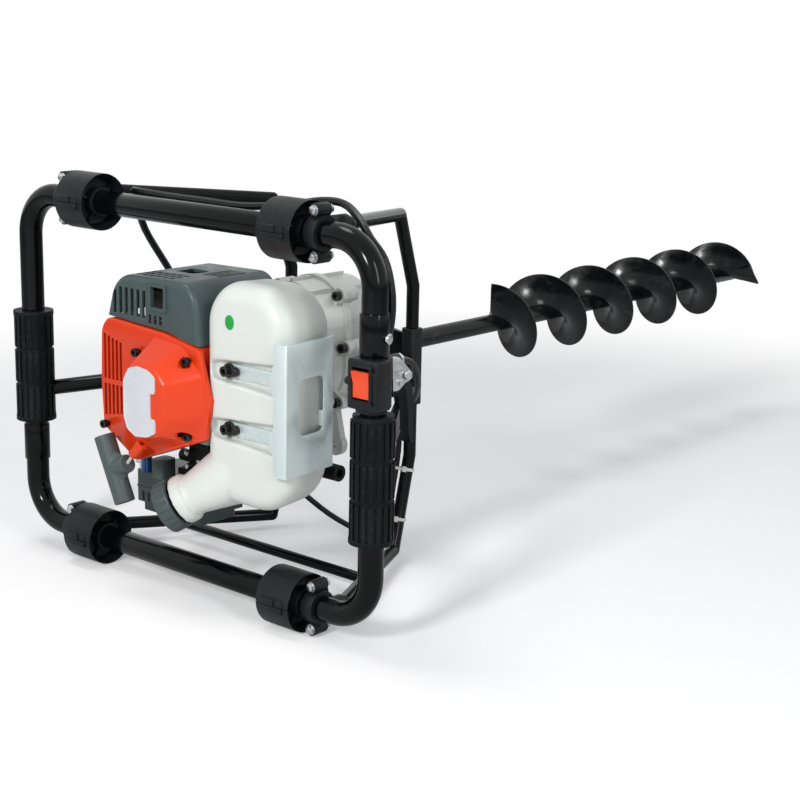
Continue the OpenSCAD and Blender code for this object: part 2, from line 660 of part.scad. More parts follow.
module crankcase() {
    bolt_r = 40;
    color([0.66, 0.67, 0.68]) difference() {
        union() {
            plate_y(plate_y0, 5) beside_tank(side_wall_x) polygon(inset(cover_pts, 0.4));
            plate_y(plate_y0 + 4, crankcase_back - plate_y0 - 4) translate([0, drive_z]) {
                circle(r = 40);
                translate([-42, -32]) square([42, 64]);
            }
            plate_y(crankcase_back - 8, 8) translate([0, drive_z]) rounded(84, 84, 12);
            for (p = cover_screw_at) translate([p[0], plate_y0, p[1]]) y_cyl(12, 13);
            // shelves that carry the tank
            for (z = [-24, 38]) translate([30, 14, z - 5]) cube([tank_left - 4 - 30, 46, 10]);
            // foot of the inlet
            translate([-26, 14, -56]) cube([40, 34, 30]);
        }
        // chamber and bearings
        on_drive(26) y_cyl(62, 32);
        translate([-60, 27, drive_z - 20]) cube([40, 30, 40]);
        on_drive(-1) y_cyl(crank_d + 2 * run, 100);
        on_drive(plate_y0 - 1) y_cyl(36, 9);
        for (p = cover_screw_at) translate([p[0], -1, p[1]]) y_cyl(5 + 2 * seat, 14.5);
        for (a = [45 : 90 : 315]) on_drive(crankcase_back - 10) rotate([0, a, 0]) translate([bolt_r + 7, 0, 0])
            y_cyl(5 + 2 * seat, 12);
        // inlet channel
        translate([-6, 31, -70]) cylinder(d = 15, h = 40);
    }
}
cyl_x0 = -42.05;
cyl_x1 = -104;
cyl_mid = [39, 6];
module cylinder_block() {
    translate([cyl_x1, cyl_mid[0], cyl_mid[1]]) rotate([0, 90, 0]) cylinder(d = 52, h = cyl_x0 - cyl_x1);
    for (i = [0 : 7]) translate([cyl_x1 + i * 7, 0, 0]) rotate([90, 0, 90]) linear_extrude(2.6)
        translate(cyl_mid) rounded(62, 74, 10);
    translate([cyl_x0 - 6, 0, 0]) rotate([90, 0, 90]) linear_extrude(6) translate(cyl_mid) rounded(58, 62, 6);
    translate([cyl_x1 - 4, 0, 0]) rotate([90, 0, 90]) linear_extrude(5) translate(cyl_mid) rounded(30, 30, 6);
    // exhaust port
    translate([-74, 27, 30]) cube([26, 24, 17.4]);
}
module cylinder_bore() {
    translate([cyl_x1 + 10, cyl_mid[0], cyl_mid[1]]) rotate([0, 90, 0]) cylinder(d = 38, h = 70);
    translate([cyl_x1 - 8, cyl_mid[0], cyl_mid[1]]) rotate([0, 90, 0]) cylinder(d = 10 + 2 * seat, h = 20);
    translate([-68, 31, 10]) cube([14, 16, 40]);
}
module spark_plug() {
    color([0.85, 0.84, 0.8]) translate([0, cyl_mid[0], cyl_mid[1]]) rotate([0, -90, 0]) {
        translate([0, 0, 96]) cylinder(d = 10, h = 15);
        translate([0, 0, 110.1]) cylinder(d = 17, h = 5, $fn = 6);
        translate([0, 0, 115]) cylinder(d = 9, h = 9);
    }
}
module plug_cap() {
    color([0.05, 0.05, 0.05]) translate([0, cyl_mid[0], cyl_mid[1]]) difference() {
        union() {
            rotate([0, -90, 0]) translate([0, 0, 116]) cylinder(d = 18, h = 14);
            translate([-123, 0, 0]) rod([0, 0, 0], [0, 24, 8], 13);
        }
        rotate([0, -90, 0]) translate([0, 0, 112]) cylinder(d = 9 + 2 * seat, h = 12.1);
    }
}
module muffler() {
    color([0.42, 0.42, 0.43]) difference() {
        union() {
            translate([-76, 16, 52]) cube([68, 54, 44]);
            translate([-80, 20, 56]) cube([76, 46, 36]);
            translate([-64, 28, 47.5]) cube([14, 22, 6]);
            translate([-26, 36, 90]) cylinder(d = 20, h = 21);
        }
        translate([-73, 19, 55]) cube([62, 48, 38]);
        translate([-61, 32, 40]) cube([8, 14, 20]);
        translate([-26, 36, 80]) cylinder(d = 16, h = 40);
    }
}
cowl_front = -27;
cowl_pts = [[-94.5, 73], [-85, 105], [-69, 118], [26, 120], [40, 106], [46, 58], [-1, 67.6]];
side_x = -112;
module engine_cowl() {
    color([0.2, 0.23, 0.25]) difference() {
        union() {
            plate_y(cowl_front, 88 - cowl_front) polygon(cowl_pts);
            // box round the cylinder
            translate([side_x, 9, -35.9]) cube([52, 79, 113.9]);
        }
        // inside
        plate_y(cowl_front + cover_wall, 84 - cowl_front) polygon(concat([[-94.5 + 3, 60]],
            [for (i = [1 : 5]) inset(cowl_pts, cover_wall)[i]], [[-1, 50]]));
        translate([side_x + cover_wall, 8, -35.9 + cover_wall]) cube([70, 76, 113.9 - 2 * cover_wall]);
        plate_y(8, 74) polygon([[-98, 50], [-91, 74], [0, 74], [0, 50]]);
        // opening of the spark plug
        translate([side_x - 1, cyl_mid[0], cyl_mid[1]]) x_cyl(34, 12);
        // tall and short slots in the front
        for (i = [0 : 5]) translate([-83 + 9 * i, cowl_front - 1, 77]) cube([4.6, 6, i == 0 ? 24 : 28]);
        for (i = [0 : 2]) translate([-29 + 8 * i, cowl_front - 1, 72.5]) cube([4.4, 6, 9]);
        // square window
        translate([-23, cowl_front - 1, 90]) cube([19, 6, 21]);
        // grid and outlet in the top
        for (i = [0 : 5], j = [0 : 2]) translate([-62 + 10 * i, -16 + 10 * j, 110]) cube([7.4, 7, 20]);
        translate([-26, 36, 100]) cylinder(d = 24, h = 30);
        translate([-44, 24, 112]) cube([26, 24, 20]);
        for (i = [0 : 3]) translate([-6 + 7 * i, 26, 112]) cube([4, 40, 20]);
        translate([-64, 80, 40]) y_cyl(wire_d + 2, 12);
        // slots in the side and the back
        for (i = [0 : 5]) translate([side_x - 1, 20 + 9 * i, 34]) cube([6, 4.5, 36]);
        for (i = [0 : 5]) translate([-104 + 8 * i, 80, -24]) cube([4, 12, 54]);
    }
    // frame round the square window
    color([0.2, 0.23, 0.25]) translate([0, 0, 0]) difference() {
        translate([-26, cowl_front - 1.6, 87]) cube([25, 3, 27]);
        translate([-23, cowl_front - 3, 90]) cube([19, 6, 21]);
    }
}

// ---------- carburettor side ----------
carb_y = 31;
module carburettor() {
    color([0.13, 0.13, 0.14]) difference() {
        union() {
            translate([-26, carb_y - 17, -62]) cube([40, 34, 5.9]);
            translate([-20, carb_y - 13, -88]) cube([30, 26, 27]);
            translate([-32, carb_y - 18, box_top + 0.05]) cube([50, 36, -87.55 - box_top]);
            translate([12, carb_y, -76]) x_cyl(16, 12);
            translate([-30, carb_y - 2, -78]) x_cyl(13, 22);
            // stop of the throttle cable
            translate([8, 40, -62]) cube([8, 14, 5.9]);
            translate([8, 50, -62]) cube([18, 4, 12]);
        }
        translate([-6, carb_y, -100]) cylinder(d = 15, h = 50);
        translate([-5, carb_y, -76]) x_cyl(5 + 2 * run, 60);
        translate([20.5, 45, -56]) y_cyl(cable_d + 2 * gap, 20);
    }
    color([0.75, 0.76, 0.78]) for (z = [-68, -82]) translate([-14, carb_y - 20, z]) y_cyl(6, 8);
}
module throttle_arm() {
    color([0.8, 0.8, 0.78]) translate([20, carb_y, -76]) {
        translate([-14, 0, 0]) x_cyl(5, 28);
        translate([-1, -5, -5]) cube([3, 10, 26]);
        translate([0.5, 0, 20]) x_cyl(9, 3);
    }
}
box_lo = -142;
box_top = -98;
module air_filter_box() {
    color([0.16, 0.18, 0.19]) difference() {
        union() {
            translate([-86, 2, box_lo + 10]) cube([102, 62, box_top - box_lo - 10]);
            translate([-80, 6, box_lo]) cube([90, 52, 12]);
            translate([-58, -6, box_top - 1]) cube([24, 22, 22]);
        }
        translate([-83, 5, box_lo + 3 + 10]) cube([96, 56, box_top - box_lo - 16]);
        translate([-6, carb_y, box_top - 10]) cylinder(d = 20, h = 20);
        translate([-30, 40, box_lo - 1]) cylinder(d = 6 + 2 * run, h = 20);
        for (i = [0 : 4]) translate([-72 + 10 * i, -8, box_lo + 18]) cube([4, 6, 14]);
    }
    // primer bulb and drain of the carburettor side
    color([0.1, 0.2, 0.6]) translate([-66, 10, box_top + 0.05]) {
        cylinder(d = 18, h = 8);
        translate([0, 0, 8]) sphere(d = 14);
    }
}
module choke_lever() {
    color([0.75, 0.06, 0.08]) translate([-30, 40, 0]) {
        translate([0, 0, box_lo - 4]) cylinder(d = 6, h = 22);
        translate([-5, -30, box_lo - 4]) cube([10, 34, 3.4]);
        translate([-5, -32, box_lo - 10]) cube([10, 4, 9.4]);
    }
}
hose_d = 6;
hose_route = [[46.6, 40, -64], [40, 41, -66], [34, 45, -75], [27, 50, -86], [16, 53, -92], [4, 52.5, -92]];
module fuel_hose() { color([0.08, 0.08, 0.08]) sweep(smooth(hose_route, 4), hose_d, cable_sides); }

// ---------- tank ----------
tank_y0 = -25;
tank_z0 = -98;
tank_r = 40;
tank_wall = 2.5;
neck_at = [17, -28, -106];       // rim of the filler neck
neck_dir = [-0.731, -0.457, -0.508];
neck_root = [75, 8, -65.5];
neck_d = 44;
neck_flare = 20;     // the neck's root is this much wider
groove_z = [39, -20];
groove_h = 19;
strap_y = -14;       // floor of the grooves
strap_screw_x = 79;
module tank_form(o) {
    e = 12;
    hull() for (x = [tank_left + tank_r, tank_left + tank_w - tank_r],
        z = [tank_z0 + tank_r, tank_z0 + tank_h - tank_r],
        s = [[0, e], [1.6, 6], [6, 1.6], [12, 0]])
        translate([x, tank_y0 + s[1] + o, z])
            rotate([-90, 0, 0]) cylinder(r = tank_r - s[0] - o, h = tank_t - 2 * (s[1] + o), $fn = 32);
}
module fuel_tank() {
    neck_rim = neck_at + neck_dir * 9;
    way = unit(neck_rim - neck_root);
    color([0.93, 0.93, 0.9]) difference() {
        union() {
            difference() {
                union() {
                    tank_form(0);
                    rod(neck_root + way * 10, neck_rim - way * 15, neck_d + 3);
                    taper(neck_root, neck_root + way * 60, neck_d + neck_flare, neck_d + 1);
                }
                difference() {
                    tank_form(tank_wall);
                    // floors of the two grooves
                    for (z = groove_z) translate([tank_left - 5, tank_y0, z - groove_h / 2 - tank_wall])
                        cube([tank_w + 10, strap_y - tank_y0 + tank_wall, groove_h + 2 * tank_wall]);
                    for (z = groove_z) translate([strap_screw_x, strap_y, z]) y_cyl(14, 22);
                }
            }
            rod(neck_root + way * 10, neck_rim, neck_d);
        }
        rod(neck_root - way * 4, neck_rim + way * 11, neck_d - 7);
        taper(neck_root + way * 6, neck_root + way * 58, neck_d + neck_flare - 9, neck_d - 7.2);
        for (z = groove_z) {
            translate([strap_screw_x - 12, tank_y0 - 1, z - groove_h / 2])
                cube([tank_w, strap_y - tank_y0 + 1, groove_h]);
            translate([strap_screw_x - 12, tank_y0 - 1, z])
                rotate([-90, 0, 0]) cylinder(d = groove_h, h = strap_y - tank_y0 + 1);
            translate([strap_screw_x, strap_y - 1, z]) y_cyl(6 + 2 * seat, 20);
        }
    }
}
module fuel_cap() {
    cap_in = neck_at + neck_dir * 1.5;
    cap_out = neck_at + neck_dir * 18;
    u = unit(cross(neck_dir, [0, 0, 1]));
    v = cross(neck_dir, u);
    color([0.3, 0.31, 0.32]) difference() {
        union() {
            rod(cap_in, cap_out, cap_d - 2);
            rod(cap_out - neck_dir * 0.1, cap_out + neck_dir * 3, cap_d - 10);
            for (a = [0 : 20 : 340]) let (w = cos(a) * u + sin(a) * v)
                rod(cap_in + neck_dir + w * (cap_d / 2 - 2), cap_out - neck_dir + w * (cap_d / 2 - 2), 4);
        }
        rod(cap_in - neck_dir, cap_out - neck_dir * 4, neck_d + 2 * run);
    }
}
module sheet_path(p, t) {
    for (i = [0 : len(p) - 2]) let (v = p[i + 1] - p[i]) translate(p[i]) rotate(atan2(v.y, v.x))
        translate([0, -t / 2]) square([norm(v), t]);
    for (q = p) translate(q) circle(d = t);
}
strap_t = 2;
bracket_x = 168;
bracket_z0 = -53;
bracket_h = 131;
module tank_bracket() {
    f = tank_y0 - 4;
    color([0.72, 0.76, 0.8]) difference() {
        union() {
            translate([0, 0, bracket_z0]) linear_extrude(bracket_h)
                sheet_path([[bracket_x - 16, f], [bracket_x, f], [bracket_x - 5, 43]], strap_t);
            for (z = groove_z) translate([0, 0, z - 7]) linear_extrude(14)
                sheet_path([[strap_screw_x - 9, strap_y - 1.1], [bracket_x - 28, strap_y - 1.1],
                    [bracket_x - 16, f]], strap_t);
        }
        for (z = groove_z) translate([strap_screw_x, -20, z]) y_cyl(6.4, 12);
        translate([bracket_x - 20, 8, 14]) rotate([90, 0, 90]) linear_extrude(40) rounded(38, 56, 8);
    }
}
module tank_screws() {
    color([0.04, 0.04, 0.04]) for (z = groove_z) translate([strap_screw_x, 0, z]) difference() {
        union() {
            translate([0, strap_y - 2.15 - 3, 0]) y_cyl(15, 3);
            translate([0, strap_y - 11, 0]) y_cyl(10.5, 7);
            translate([0, strap_y - 3, 0]) y_cyl(6, 19);
        }
        translate([0, strap_y - 12, 0]) rotate([-90, 0, 0]) cylinder(d = 5.6, h = 5, $fn = 6);
    }
}
module tank_foot() {
    color([0.05, 0.05, 0.05]) {
        // pads between the crankcase shelves and the tank
        for (z = [-24, 38]) translate([tank_left - 2, 37, z]) x_cyl(20, 3.9);
        // bumper behind the lower corner
        translate([tank_left + 84, tank_y0 + tank_t + 9, tank_z0 + 27]) difference() {
            x_cyl(17, 30);
            translate([15, 0, 0]) x_cyl(9, 16);
        }
        translate([tank_left + 70, tank_y0 + tank_t + 0.05, tank_z0 + 23]) cube([16, 5, 8]);
    }
}

// ---------- clutch ----------
drum_od = 68;
in_shaft_d = 12;
clutch_front = 76.05;
module clutch_housing() {
    color([0.64, 0.65, 0.66]) difference() {
        union() {
            on_drive(clutch_front) y_cyl(104, case_front - clutch_front - 0.05);
            on_drive(case_front - 8) y_cyl(108.4, 7.95);
            on_drive(clutch_front) y_cyl(108, 6);
            for (a = [35, 145, 215, 325]) on_drive(case_front - 12) rotate([0, a, 0])
                translate([57, 0, 0]) y_cyl(15, 11.95);
            for (a = [0 : 45 : 315]) on_drive(clutch_front) rotate([0, a, 0]) translate([51, 0, -1.5])
                cube([4, case_front - clutch_front - 6, 3]);
        }
        on_drive(clutch_front + 5) y_cyl(94, 80);
        on_drive(clutch_front - 1) y_cyl(60, 10);
        for (a = [35, 145, 215, 325]) on_drive(case_front - 14) rotate([0, a, 0])
            translate([57, 0, 0]) y_cyl(5 + 2 * seat, 16);
        for (a = [45 : 90 : 315]) on_drive(clutch_front - 1) rotate([0, a, 0]) translate([47, 0, 0])
            y_cyl(5 + 2 * seat, 8);
        // air slots
        for (a = [75, 105, 255, 285]) on_drive(96) rotate([0, a, 0]) translate([44, 0, -4])
            cube([20, 34, 8]);
    }
}
module clutch_shoes() {
    color([0.5, 0.42, 0.36]) on_drive(86) rotate([-90, 0, 0]) {
        for (s = [0, 180]) rotate(s) difference() {
            linear_extrude(12) intersection() {
                difference() {
                    circle(d = drum_od - 8.6);
                    circle(d = 30);
                }
                translate([-50, 3]) square([100, 50]);
            }
            translate([0, 22, -1]) cylinder(d = 6, h = 14);
        }
        difference() {
            cylinder(d = 27, h = 12);
            translate([0, 0, -1]) cylinder(d = crank_d + 2 * seat, h = 14);
        }
        for (s = [0, 180]) rotate(s) translate([-4, 11, 3]) cube([8, 7, 6]);
    }
    // spring that holds the shoes in
    color([0.7, 0.7, 0.72]) on_drive(98.05) rotate([-90, 0, 0]) difference() {
        cylinder(d = 40, h = 1.5);
        translate([0, 0, -1]) cylinder(d = 33, h = 4);
    }
}

// ---------- gears ----------
press_angle = 25;
gear_slack = 0.05;
function inv(a) = tan(a) * 180 / PI - a;
module gear(z) {
    r = gear_m * z / 2;
    rb = r * cos(press_angle);
    root = r - 1.25 * gear_m;
    low = max(rb, root + 0.1);
    top = r + gear_m;
    at_pitch = 90 / z - gear_slack / r * 180 / PI + inv(press_angle);
    flank = concat([[root, at_pitch - inv(acos(min(1, rb / low)))]], [for (i = [0 : 3]) let (q = low + (top - low) * i / 3)
        [q, at_pitch - inv(acos(min(1, rb / q)))]]);
    polygon([for (k = [0 : z - 1], i = [0 : 9]) let (j = i < 5 ? i : 9 - i, s = i < 5 ? -1 : 1,
        a = 360 * k / z + s * flank[j][1]) flank[j][0] * [cos(a), sin(a)]]);
}
gear1_y = 161;
gear1_w = 15;
gear2_y = 180;
gear2_w = 16;
module clutch_drum() {
    color([0.55, 0.56, 0.58]) {
        on_drive(83) difference() {
            y_cyl(drum_od, 24);
            translate([0, -1, 0]) y_cyl(drum_od - 6, 22);
        }
        on_drive(106) y_cyl(in_shaft_d + 8, 30);
        on_drive(106) y_cyl(in_shaft_d, gear1_y - 106 + 1);
        plate_y(gear1_y, gear1_w) translate([0, drive_z]) rotate(90) gear(small_z);
    }
}
lay_d = 10;
lay_z = drive_z + gear_a;
module layshaft() {
    color([0.6, 0.6, 0.62]) {
        translate([0, gear1_y - 7, lay_z]) y_cyl(lay_d, gear2_y + gear2_w + 14 - gear1_y);
        plate_y(gear1_y, gear1_w) translate([0, lay_z]) rotate(270 + 180 / big_z) difference() {
            gear(big_z);
            for (a = [0 : 60 : 300]) rotate(a) translate([24, 0]) circle(d = 11);
        }
        translate([0, gear1_y + gear1_w - 1, lay_z]) y_cyl(15, 4);
        plate_y(gear2_y, gear2_w) translate([0, lay_z]) rotate(270) gear(small_z);
    }
}
out_d = 20;
out_end = 290;
pin_y = 278;
pin_w = 8;
module output_gear() {
    color([0.62, 0.62, 0.64]) difference() {
        union() {
            plate_y(gear2_y, gear2_w) translate([0, drive_z]) rotate(90 + 180 / big_z) difference() {
                gear(big_z);
                for (a = [0 : 60 : 300]) rotate(a) translate([25, 0]) circle(d = 11);
            }
            on_drive(gear2_y - 2) y_cyl(30, gear2_w + 4);
            on_drive(gear2_y) y_cyl(out_d, out_end - gear2_y);
        }
        translate([0, pin_y, drive_z]) x_cyl(pin_w + 2 * seat, 40);
    }
}

// ---------- gearbox case ----------
case_wall = 4;
lug_at = [[46, 80], [55, 24], [46, -38]];
module case_outline(r) {
    circle(r = r);
    translate([0, gear_a]) circle(r = r);
    translate([-r, 0]) square([2 * r, gear_a]);
}
module lugs() {
    for (m = [0, 1], p = lug_at) mirror([m, 0]) {
        translate(p) circle(r = 8);
        hub = [0, p.y > 40 ? gear_a : 0];
        side = 7.4 * [hub.y - p.y, p.x] / norm(p - hub);
        polygon([hub, p + side, p - side]);
    }
}
module gearbox_front() {
    color([0.66, 0.67, 0.68]) difference() {
        union() {
            plate_y(case_front, case_joint - case_front - 0.03) translate([0, drive_z]) case_outline(case_r);
            plate_y(case_joint - 12, 11.97) translate([0, drive_z]) lugs();
            plate_y(case_joint - 5, 4.97) translate([0, drive_z]) case_outline(case_r + 4);
            plate_y(case_front, 8) translate([0, drive_z]) circle(r = 56);
            for (a = [35, 145, 215, 325]) on_drive(case_front) rotate([0, a, 0])
                translate([57, 0, 0]) y_cyl(15, 12);
            // stiffening ribs
            for (x = [-30, 0, 30]) translate([x - 1.5, case_front, drive_z + gear_a])
                cube([3, 30, sqrt(case_r * case_r - x * x) + 3.5]);
        }
        plate_y(case_front + case_wall + 4, 60) translate([0, drive_z]) case_outline(case_r - case_wall);
        on_drive(case_front - 1) y_cyl(in_shaft_d + 8 + 2 * gap, 5);
        on_drive(case_front - 1) y_cyl(in_shaft_d + 2 * run, 20);
        translate([0, case_front + 3, lay_z]) y_cyl(lay_d + 2 * run, 10);
        for (a = [35, 145, 215, 325]) on_drive(case_front - 1) rotate([0, a, 0])
            translate([57, 0, 0]) y_cyl(5 + 2 * seat, 10);
        for (m = [0, 1], p = lug_at) mirror([m, 0, 0]) translate([p[0], case_joint - 20, drive_z + p[1]])
            y_cyl(6 + 2 * seat, 30);
    }
}
ear_at = [31, -84];
module gearbox_rear() {
    color([0.62, 0.63, 0.64]) difference() {
        union() {
            plate_y(case_joint, case_back - case_joint) translate([0, drive_z]) case_outline(case_r - 1);
            plate_y(case_joint, 12) translate([0, drive_z]) lugs();
            plate_y(case_joint, 5) translate([0, drive_z]) case_outline(case_r + 4);
            on_drive(case_back - 1) y_cyl(nose_d, nose_len + 1);
            // ear under the case
            plate_y(case_joint, 8) {
                translate(ear_at) circle(d = 25);
                polygon([[ear_at[0] - 11, ear_at[1]], [ear_at[0] + 11, ear_at[1]], [30, -32], [4, -34]]);
            }
            for (x = [-30, 0, 30]) translate([x - 1.5, case_joint, drive_z + gear_a])
                cube([3, 44, sqrt(case_r * case_r - x * x) + 2.5]);
        }
        difference() {
            plate_y(case_joint - 1, case_back - case_joint - case_wall + 1) translate([0, drive_z])
                case_outline(case_r - case_wall - 1);
            on_drive(gear2_y + gear2_w + 5) y_cyl(34, 60);
            translate([0, gear2_y + gear2_w + 2, lay_z]) y_cyl(24, 60);
            for (a = [45 : 90 : 315]) on_drive(case_back - 16) rotate([0, a, 0]) translate([34, 0, 0])
                y_cyl(14, 30);
        }
        on_drive(case_joint) y_cyl(out_d + 2 * run, 100);
        translate([0, case_joint, lay_z]) y_cyl(lay_d + 2 * run, 24);
        for (a = [45 : 90 : 315]) on_drive(case_back - 12) rotate([0, a, 0]) translate([34, 0, 0])
            y_cyl(6 + 2 * seat, 20);
        translate([ear_at[0], case_joint - 1, ear_at[1]]) y_cyl(6.6, 20);
        for (m = [0, 1], p = lug_at) mirror([m, 0, 0]) translate([p[0], case_joint - 1, drive_z + p[1]])
            y_cyl(6 + 2 * seat, 11);
    }
}
module gearbox_bolts() {
    color([0.2, 0.2, 0.21]) {
        for (m = [0, 1], p = lug_at) mirror([m, 0, 0])
            translate([p[0], case_joint + 9, drive_z + p[1]]) cap_screw(6, 21.05);
        for (a = [35, 145, 215, 325]) on_drive(case_front + 8) rotate([0, a, 0])
            translate([57, 0, 0]) cap_screw(5, 20.05);
        // plate bolts, screwed in from behind
        for (a = [45 : 90 : 315]) on_drive(case_back - 10) rotate([0, a, 0]) translate([34, 0, 0])
            rotate([0, 0, 180]) cap_screw(6, plate_t + 10.1);
    }
}

// ---------- auger ----------
socket_y = 262;
socket_len = 50;
flight_y0 = 506;
flight_y1 = 1078;
module coupling_pin() {
    color([0.72, 0.73, 0.75]) translate([0, pin_y, drive_z]) {
        x_cyl(pin_w, 42);
        translate([21 + 1.5, 0, 0]) x_cyl(12, 3.5);
    }
}
// Ribbon of the flights: a strip of section flight_t wound right-handed round the tube.
flight_steps = 130;
module flight() {
    r0 = shaft_d / 2 + 0.12;
    r1 = flight_d / 2;
    span = flight_y1 - flight_y0;
    polyhedron(
        [for (i = [0 : flight_steps]) let (y = flight_y0 + span * i / flight_steps,
            a = 360 * (y - flight_y0) / flight_pitch, h = flight_t / 2)
            for (q = [[r0, -h], [r1, -h * 0.8], [r1, h * 0.8], [r0, h]])
                [q[0] * sin(a), y + q[1], drive_z + q[0] * cos(a)]],
        concat([[0, 2, 1], [0, 3, 2]],
            [for (i = [0 : flight_steps - 1], j = [0 : 3]) let (k = (j + 1) % 4)
                each [[4 * i + j, 4 * i + k, 4 * i + 4 + k], [4 * i + j, 4 * i + 4 + k, 4 * i + 4 + j]]],
            [[4 * flight_steps, 4 * flight_steps + 1, 4 * flight_steps + 2],
                [4 * flight_steps, 4 * flight_steps + 2, 4 * flight_steps + 3]]));
}
module auger_bit() {
    color([0.05, 0.05, 0.055]) {
        difference() {
            union() {
                on_drive(socket_y) y_cyl(32, socket_len);
                on_drive(socket_y + socket_len - 1) y_cyl(shaft_d, bit_end - socket_y - socket_len + 1);
            }
            on_drive(socket_y - 1) y_cyl(out_d + 2 * seat, 32);
            translate([0, pin_y, drive_z]) x_cyl(pin_w + 2 * seat, 40);
            // bore of the tube
            on_drive(socket_y + 30) y_cyl(shaft_d - 5, bit_end - socket_y - 56);
        }
        flight();
    }
}
blade_t = 3;
module bit_blade() {
    // slopes across the last edge of the flight
    color([0.09, 0.09, 0.1]) translate([0, flight_y1 + 0.6, drive_z]) difference() {
        rotate([45, 0, 0]) translate([13, 0, -blade_t / 2]) linear_extrude(blade_t)
            polygon([[0, 2], [30, 2], [38, 6], [40, 26], [0, 20]]);
        translate([0, -20, 0]) y_cyl(shaft_d + 0.2, 60);
    }
}
module engine_cylinder() {
    color([0.6, 0.61, 0.62]) difference() {
        cylinder_block();
        cylinder_bore();
    }
}

left_handle_tube();
right_handle_tube();
top_bar();
bottom_bar();
upper_left_buffer();
upper_right_buffer();
lower_left_buffer();
lower_right_buffer();
left_grip();
right_grip();
tube_collars();
frame_clamps();
clamp_bolts();
left_rear_tube();
right_rear_tube();
leg_pads();
frame_braces();
gearbox_plate();
switch_housing();
stop_rocker();
throttle_perch();
throttle_lever();
lever_pin();
throttle_cable();
stop_wire();
cable_ties();
starter_cover();
cover_screws();
cover_panel();
starter_pulley();
pull_handle();
flywheel();
crankshaft();
crankcase();
engine_cylinder();
spark_plug();
plug_cap();
muffler();
engine_cowl();
carburettor();
throttle_arm();
air_filter_box();
choke_lever();
fuel_hose();
fuel_tank();
fuel_cap();
tank_bracket();
tank_screws();
tank_foot();
clutch_shoes();
clutch_housing();
clutch_drum();
gearbox_front();
gearbox_rear();
gearbox_bolts();
layshaft();
output_gear();
coupling_pin();
auger_bit();
bit_blade();
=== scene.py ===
# %% [markdown]
# # An ice auger with its engine, in its handle frame
# The solids of the machine come from CAD as one fixed frame, in metres. This lesson gives them
# their finish and models again, by hand, the pieces whose looks need softer or finer shapes.
# First the frame is loaded, and its size is kept, because the finished model must not grow.
# %% Load the frame
import json
import math
import bpy
import bmesh
from mathutils import Matrix, Vector
from mathutils.bvhtree import BVHTree


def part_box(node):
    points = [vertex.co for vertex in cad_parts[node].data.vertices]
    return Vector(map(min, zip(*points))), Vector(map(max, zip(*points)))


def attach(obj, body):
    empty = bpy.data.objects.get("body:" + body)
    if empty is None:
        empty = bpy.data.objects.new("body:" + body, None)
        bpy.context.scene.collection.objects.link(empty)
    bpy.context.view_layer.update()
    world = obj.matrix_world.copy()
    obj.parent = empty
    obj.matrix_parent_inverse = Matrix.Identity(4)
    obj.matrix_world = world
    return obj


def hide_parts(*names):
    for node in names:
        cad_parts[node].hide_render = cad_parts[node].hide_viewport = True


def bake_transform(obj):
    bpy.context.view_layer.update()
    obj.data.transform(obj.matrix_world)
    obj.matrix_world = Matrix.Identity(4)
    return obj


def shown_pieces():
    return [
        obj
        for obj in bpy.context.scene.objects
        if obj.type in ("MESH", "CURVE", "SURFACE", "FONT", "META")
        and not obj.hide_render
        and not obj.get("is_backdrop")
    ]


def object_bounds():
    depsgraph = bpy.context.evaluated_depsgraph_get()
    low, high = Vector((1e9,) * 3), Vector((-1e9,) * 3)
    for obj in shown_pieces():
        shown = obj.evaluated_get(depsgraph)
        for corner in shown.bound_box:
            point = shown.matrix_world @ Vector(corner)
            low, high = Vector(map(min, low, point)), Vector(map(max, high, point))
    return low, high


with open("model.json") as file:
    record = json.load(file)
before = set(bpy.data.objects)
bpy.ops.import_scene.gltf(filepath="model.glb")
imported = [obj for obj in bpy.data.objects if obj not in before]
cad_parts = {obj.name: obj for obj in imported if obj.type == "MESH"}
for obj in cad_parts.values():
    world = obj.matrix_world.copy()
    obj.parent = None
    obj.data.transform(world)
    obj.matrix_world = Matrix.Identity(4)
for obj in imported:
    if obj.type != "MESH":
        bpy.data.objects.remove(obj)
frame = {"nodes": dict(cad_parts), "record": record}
cad_low, cad_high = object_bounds()
nodes = frame["nodes"]
print("pieces from CAD:", len(nodes))
print("size in metres:", [round(cad_high[i] - cad_low[i], 4) for i in range(3)])

# %% [markdown]
# The photograph was taken from the front right, a little above the machine, with a long lens.
# The camera is set by its place and by the three axes of its view. Aim comes first, so no shift
# is needed. The image points are places in the photograph that the render should also show.
# %% Camera and image points
W = H = 800
L = max(W, H)
lens_mm = 76.01
sensor_mm = 36.0
shift_x = 0.0
shift_y = 0.0
camera_place = Vector((1.25778, -1.14212, 0.39894))
view_right = Vector((0.758142, 0.651789, 0.019802))
view_up = Vector((-0.1658, 0.163306, 0.972544))
view_back = view_right.cross(view_up).normalized()

camera_data = bpy.data.cameras.new("camera")
camera_data.sensor_fit = "AUTO"
camera_data.sensor_width = sensor_mm
camera_data.lens = lens_mm
camera_data.clip_end = 50
camera = bpy.data.objects.new("camera", camera_data)
bpy.context.scene.collection.objects.link(camera)
camera.matrix_world = Matrix((view_right, view_up, view_back)).transposed().to_4x4()
camera.location = camera_place
bpy.context.scene.camera = camera
bpy.context.view_layer.update()

image_points = {
    "left_edge_x": 13.5, "right_edge_x": 760.0, "top_edge_y": 168.5, "bottom_edge_y": 635.0,
    "flight_start": (494, 289), "blade_corner": (759.6, 283.8), "green_mark": (229.5, 322.5),
    "upper_tank_screw": (224, 372), "lower_tank_screw": (225, 428.5), "stop_rocker": (365, 383),
    "upper_cover_screw": (188, 364), "lower_cover_screw": (189.5, 437),
    "case_ear": (332, 444.5), "cowl_window": (158, 301), "sleeve_screw": (387.5, 339),
}
print("camera:", [round(v, 4) for v in camera.location], "lens", lens_mm, "mm")

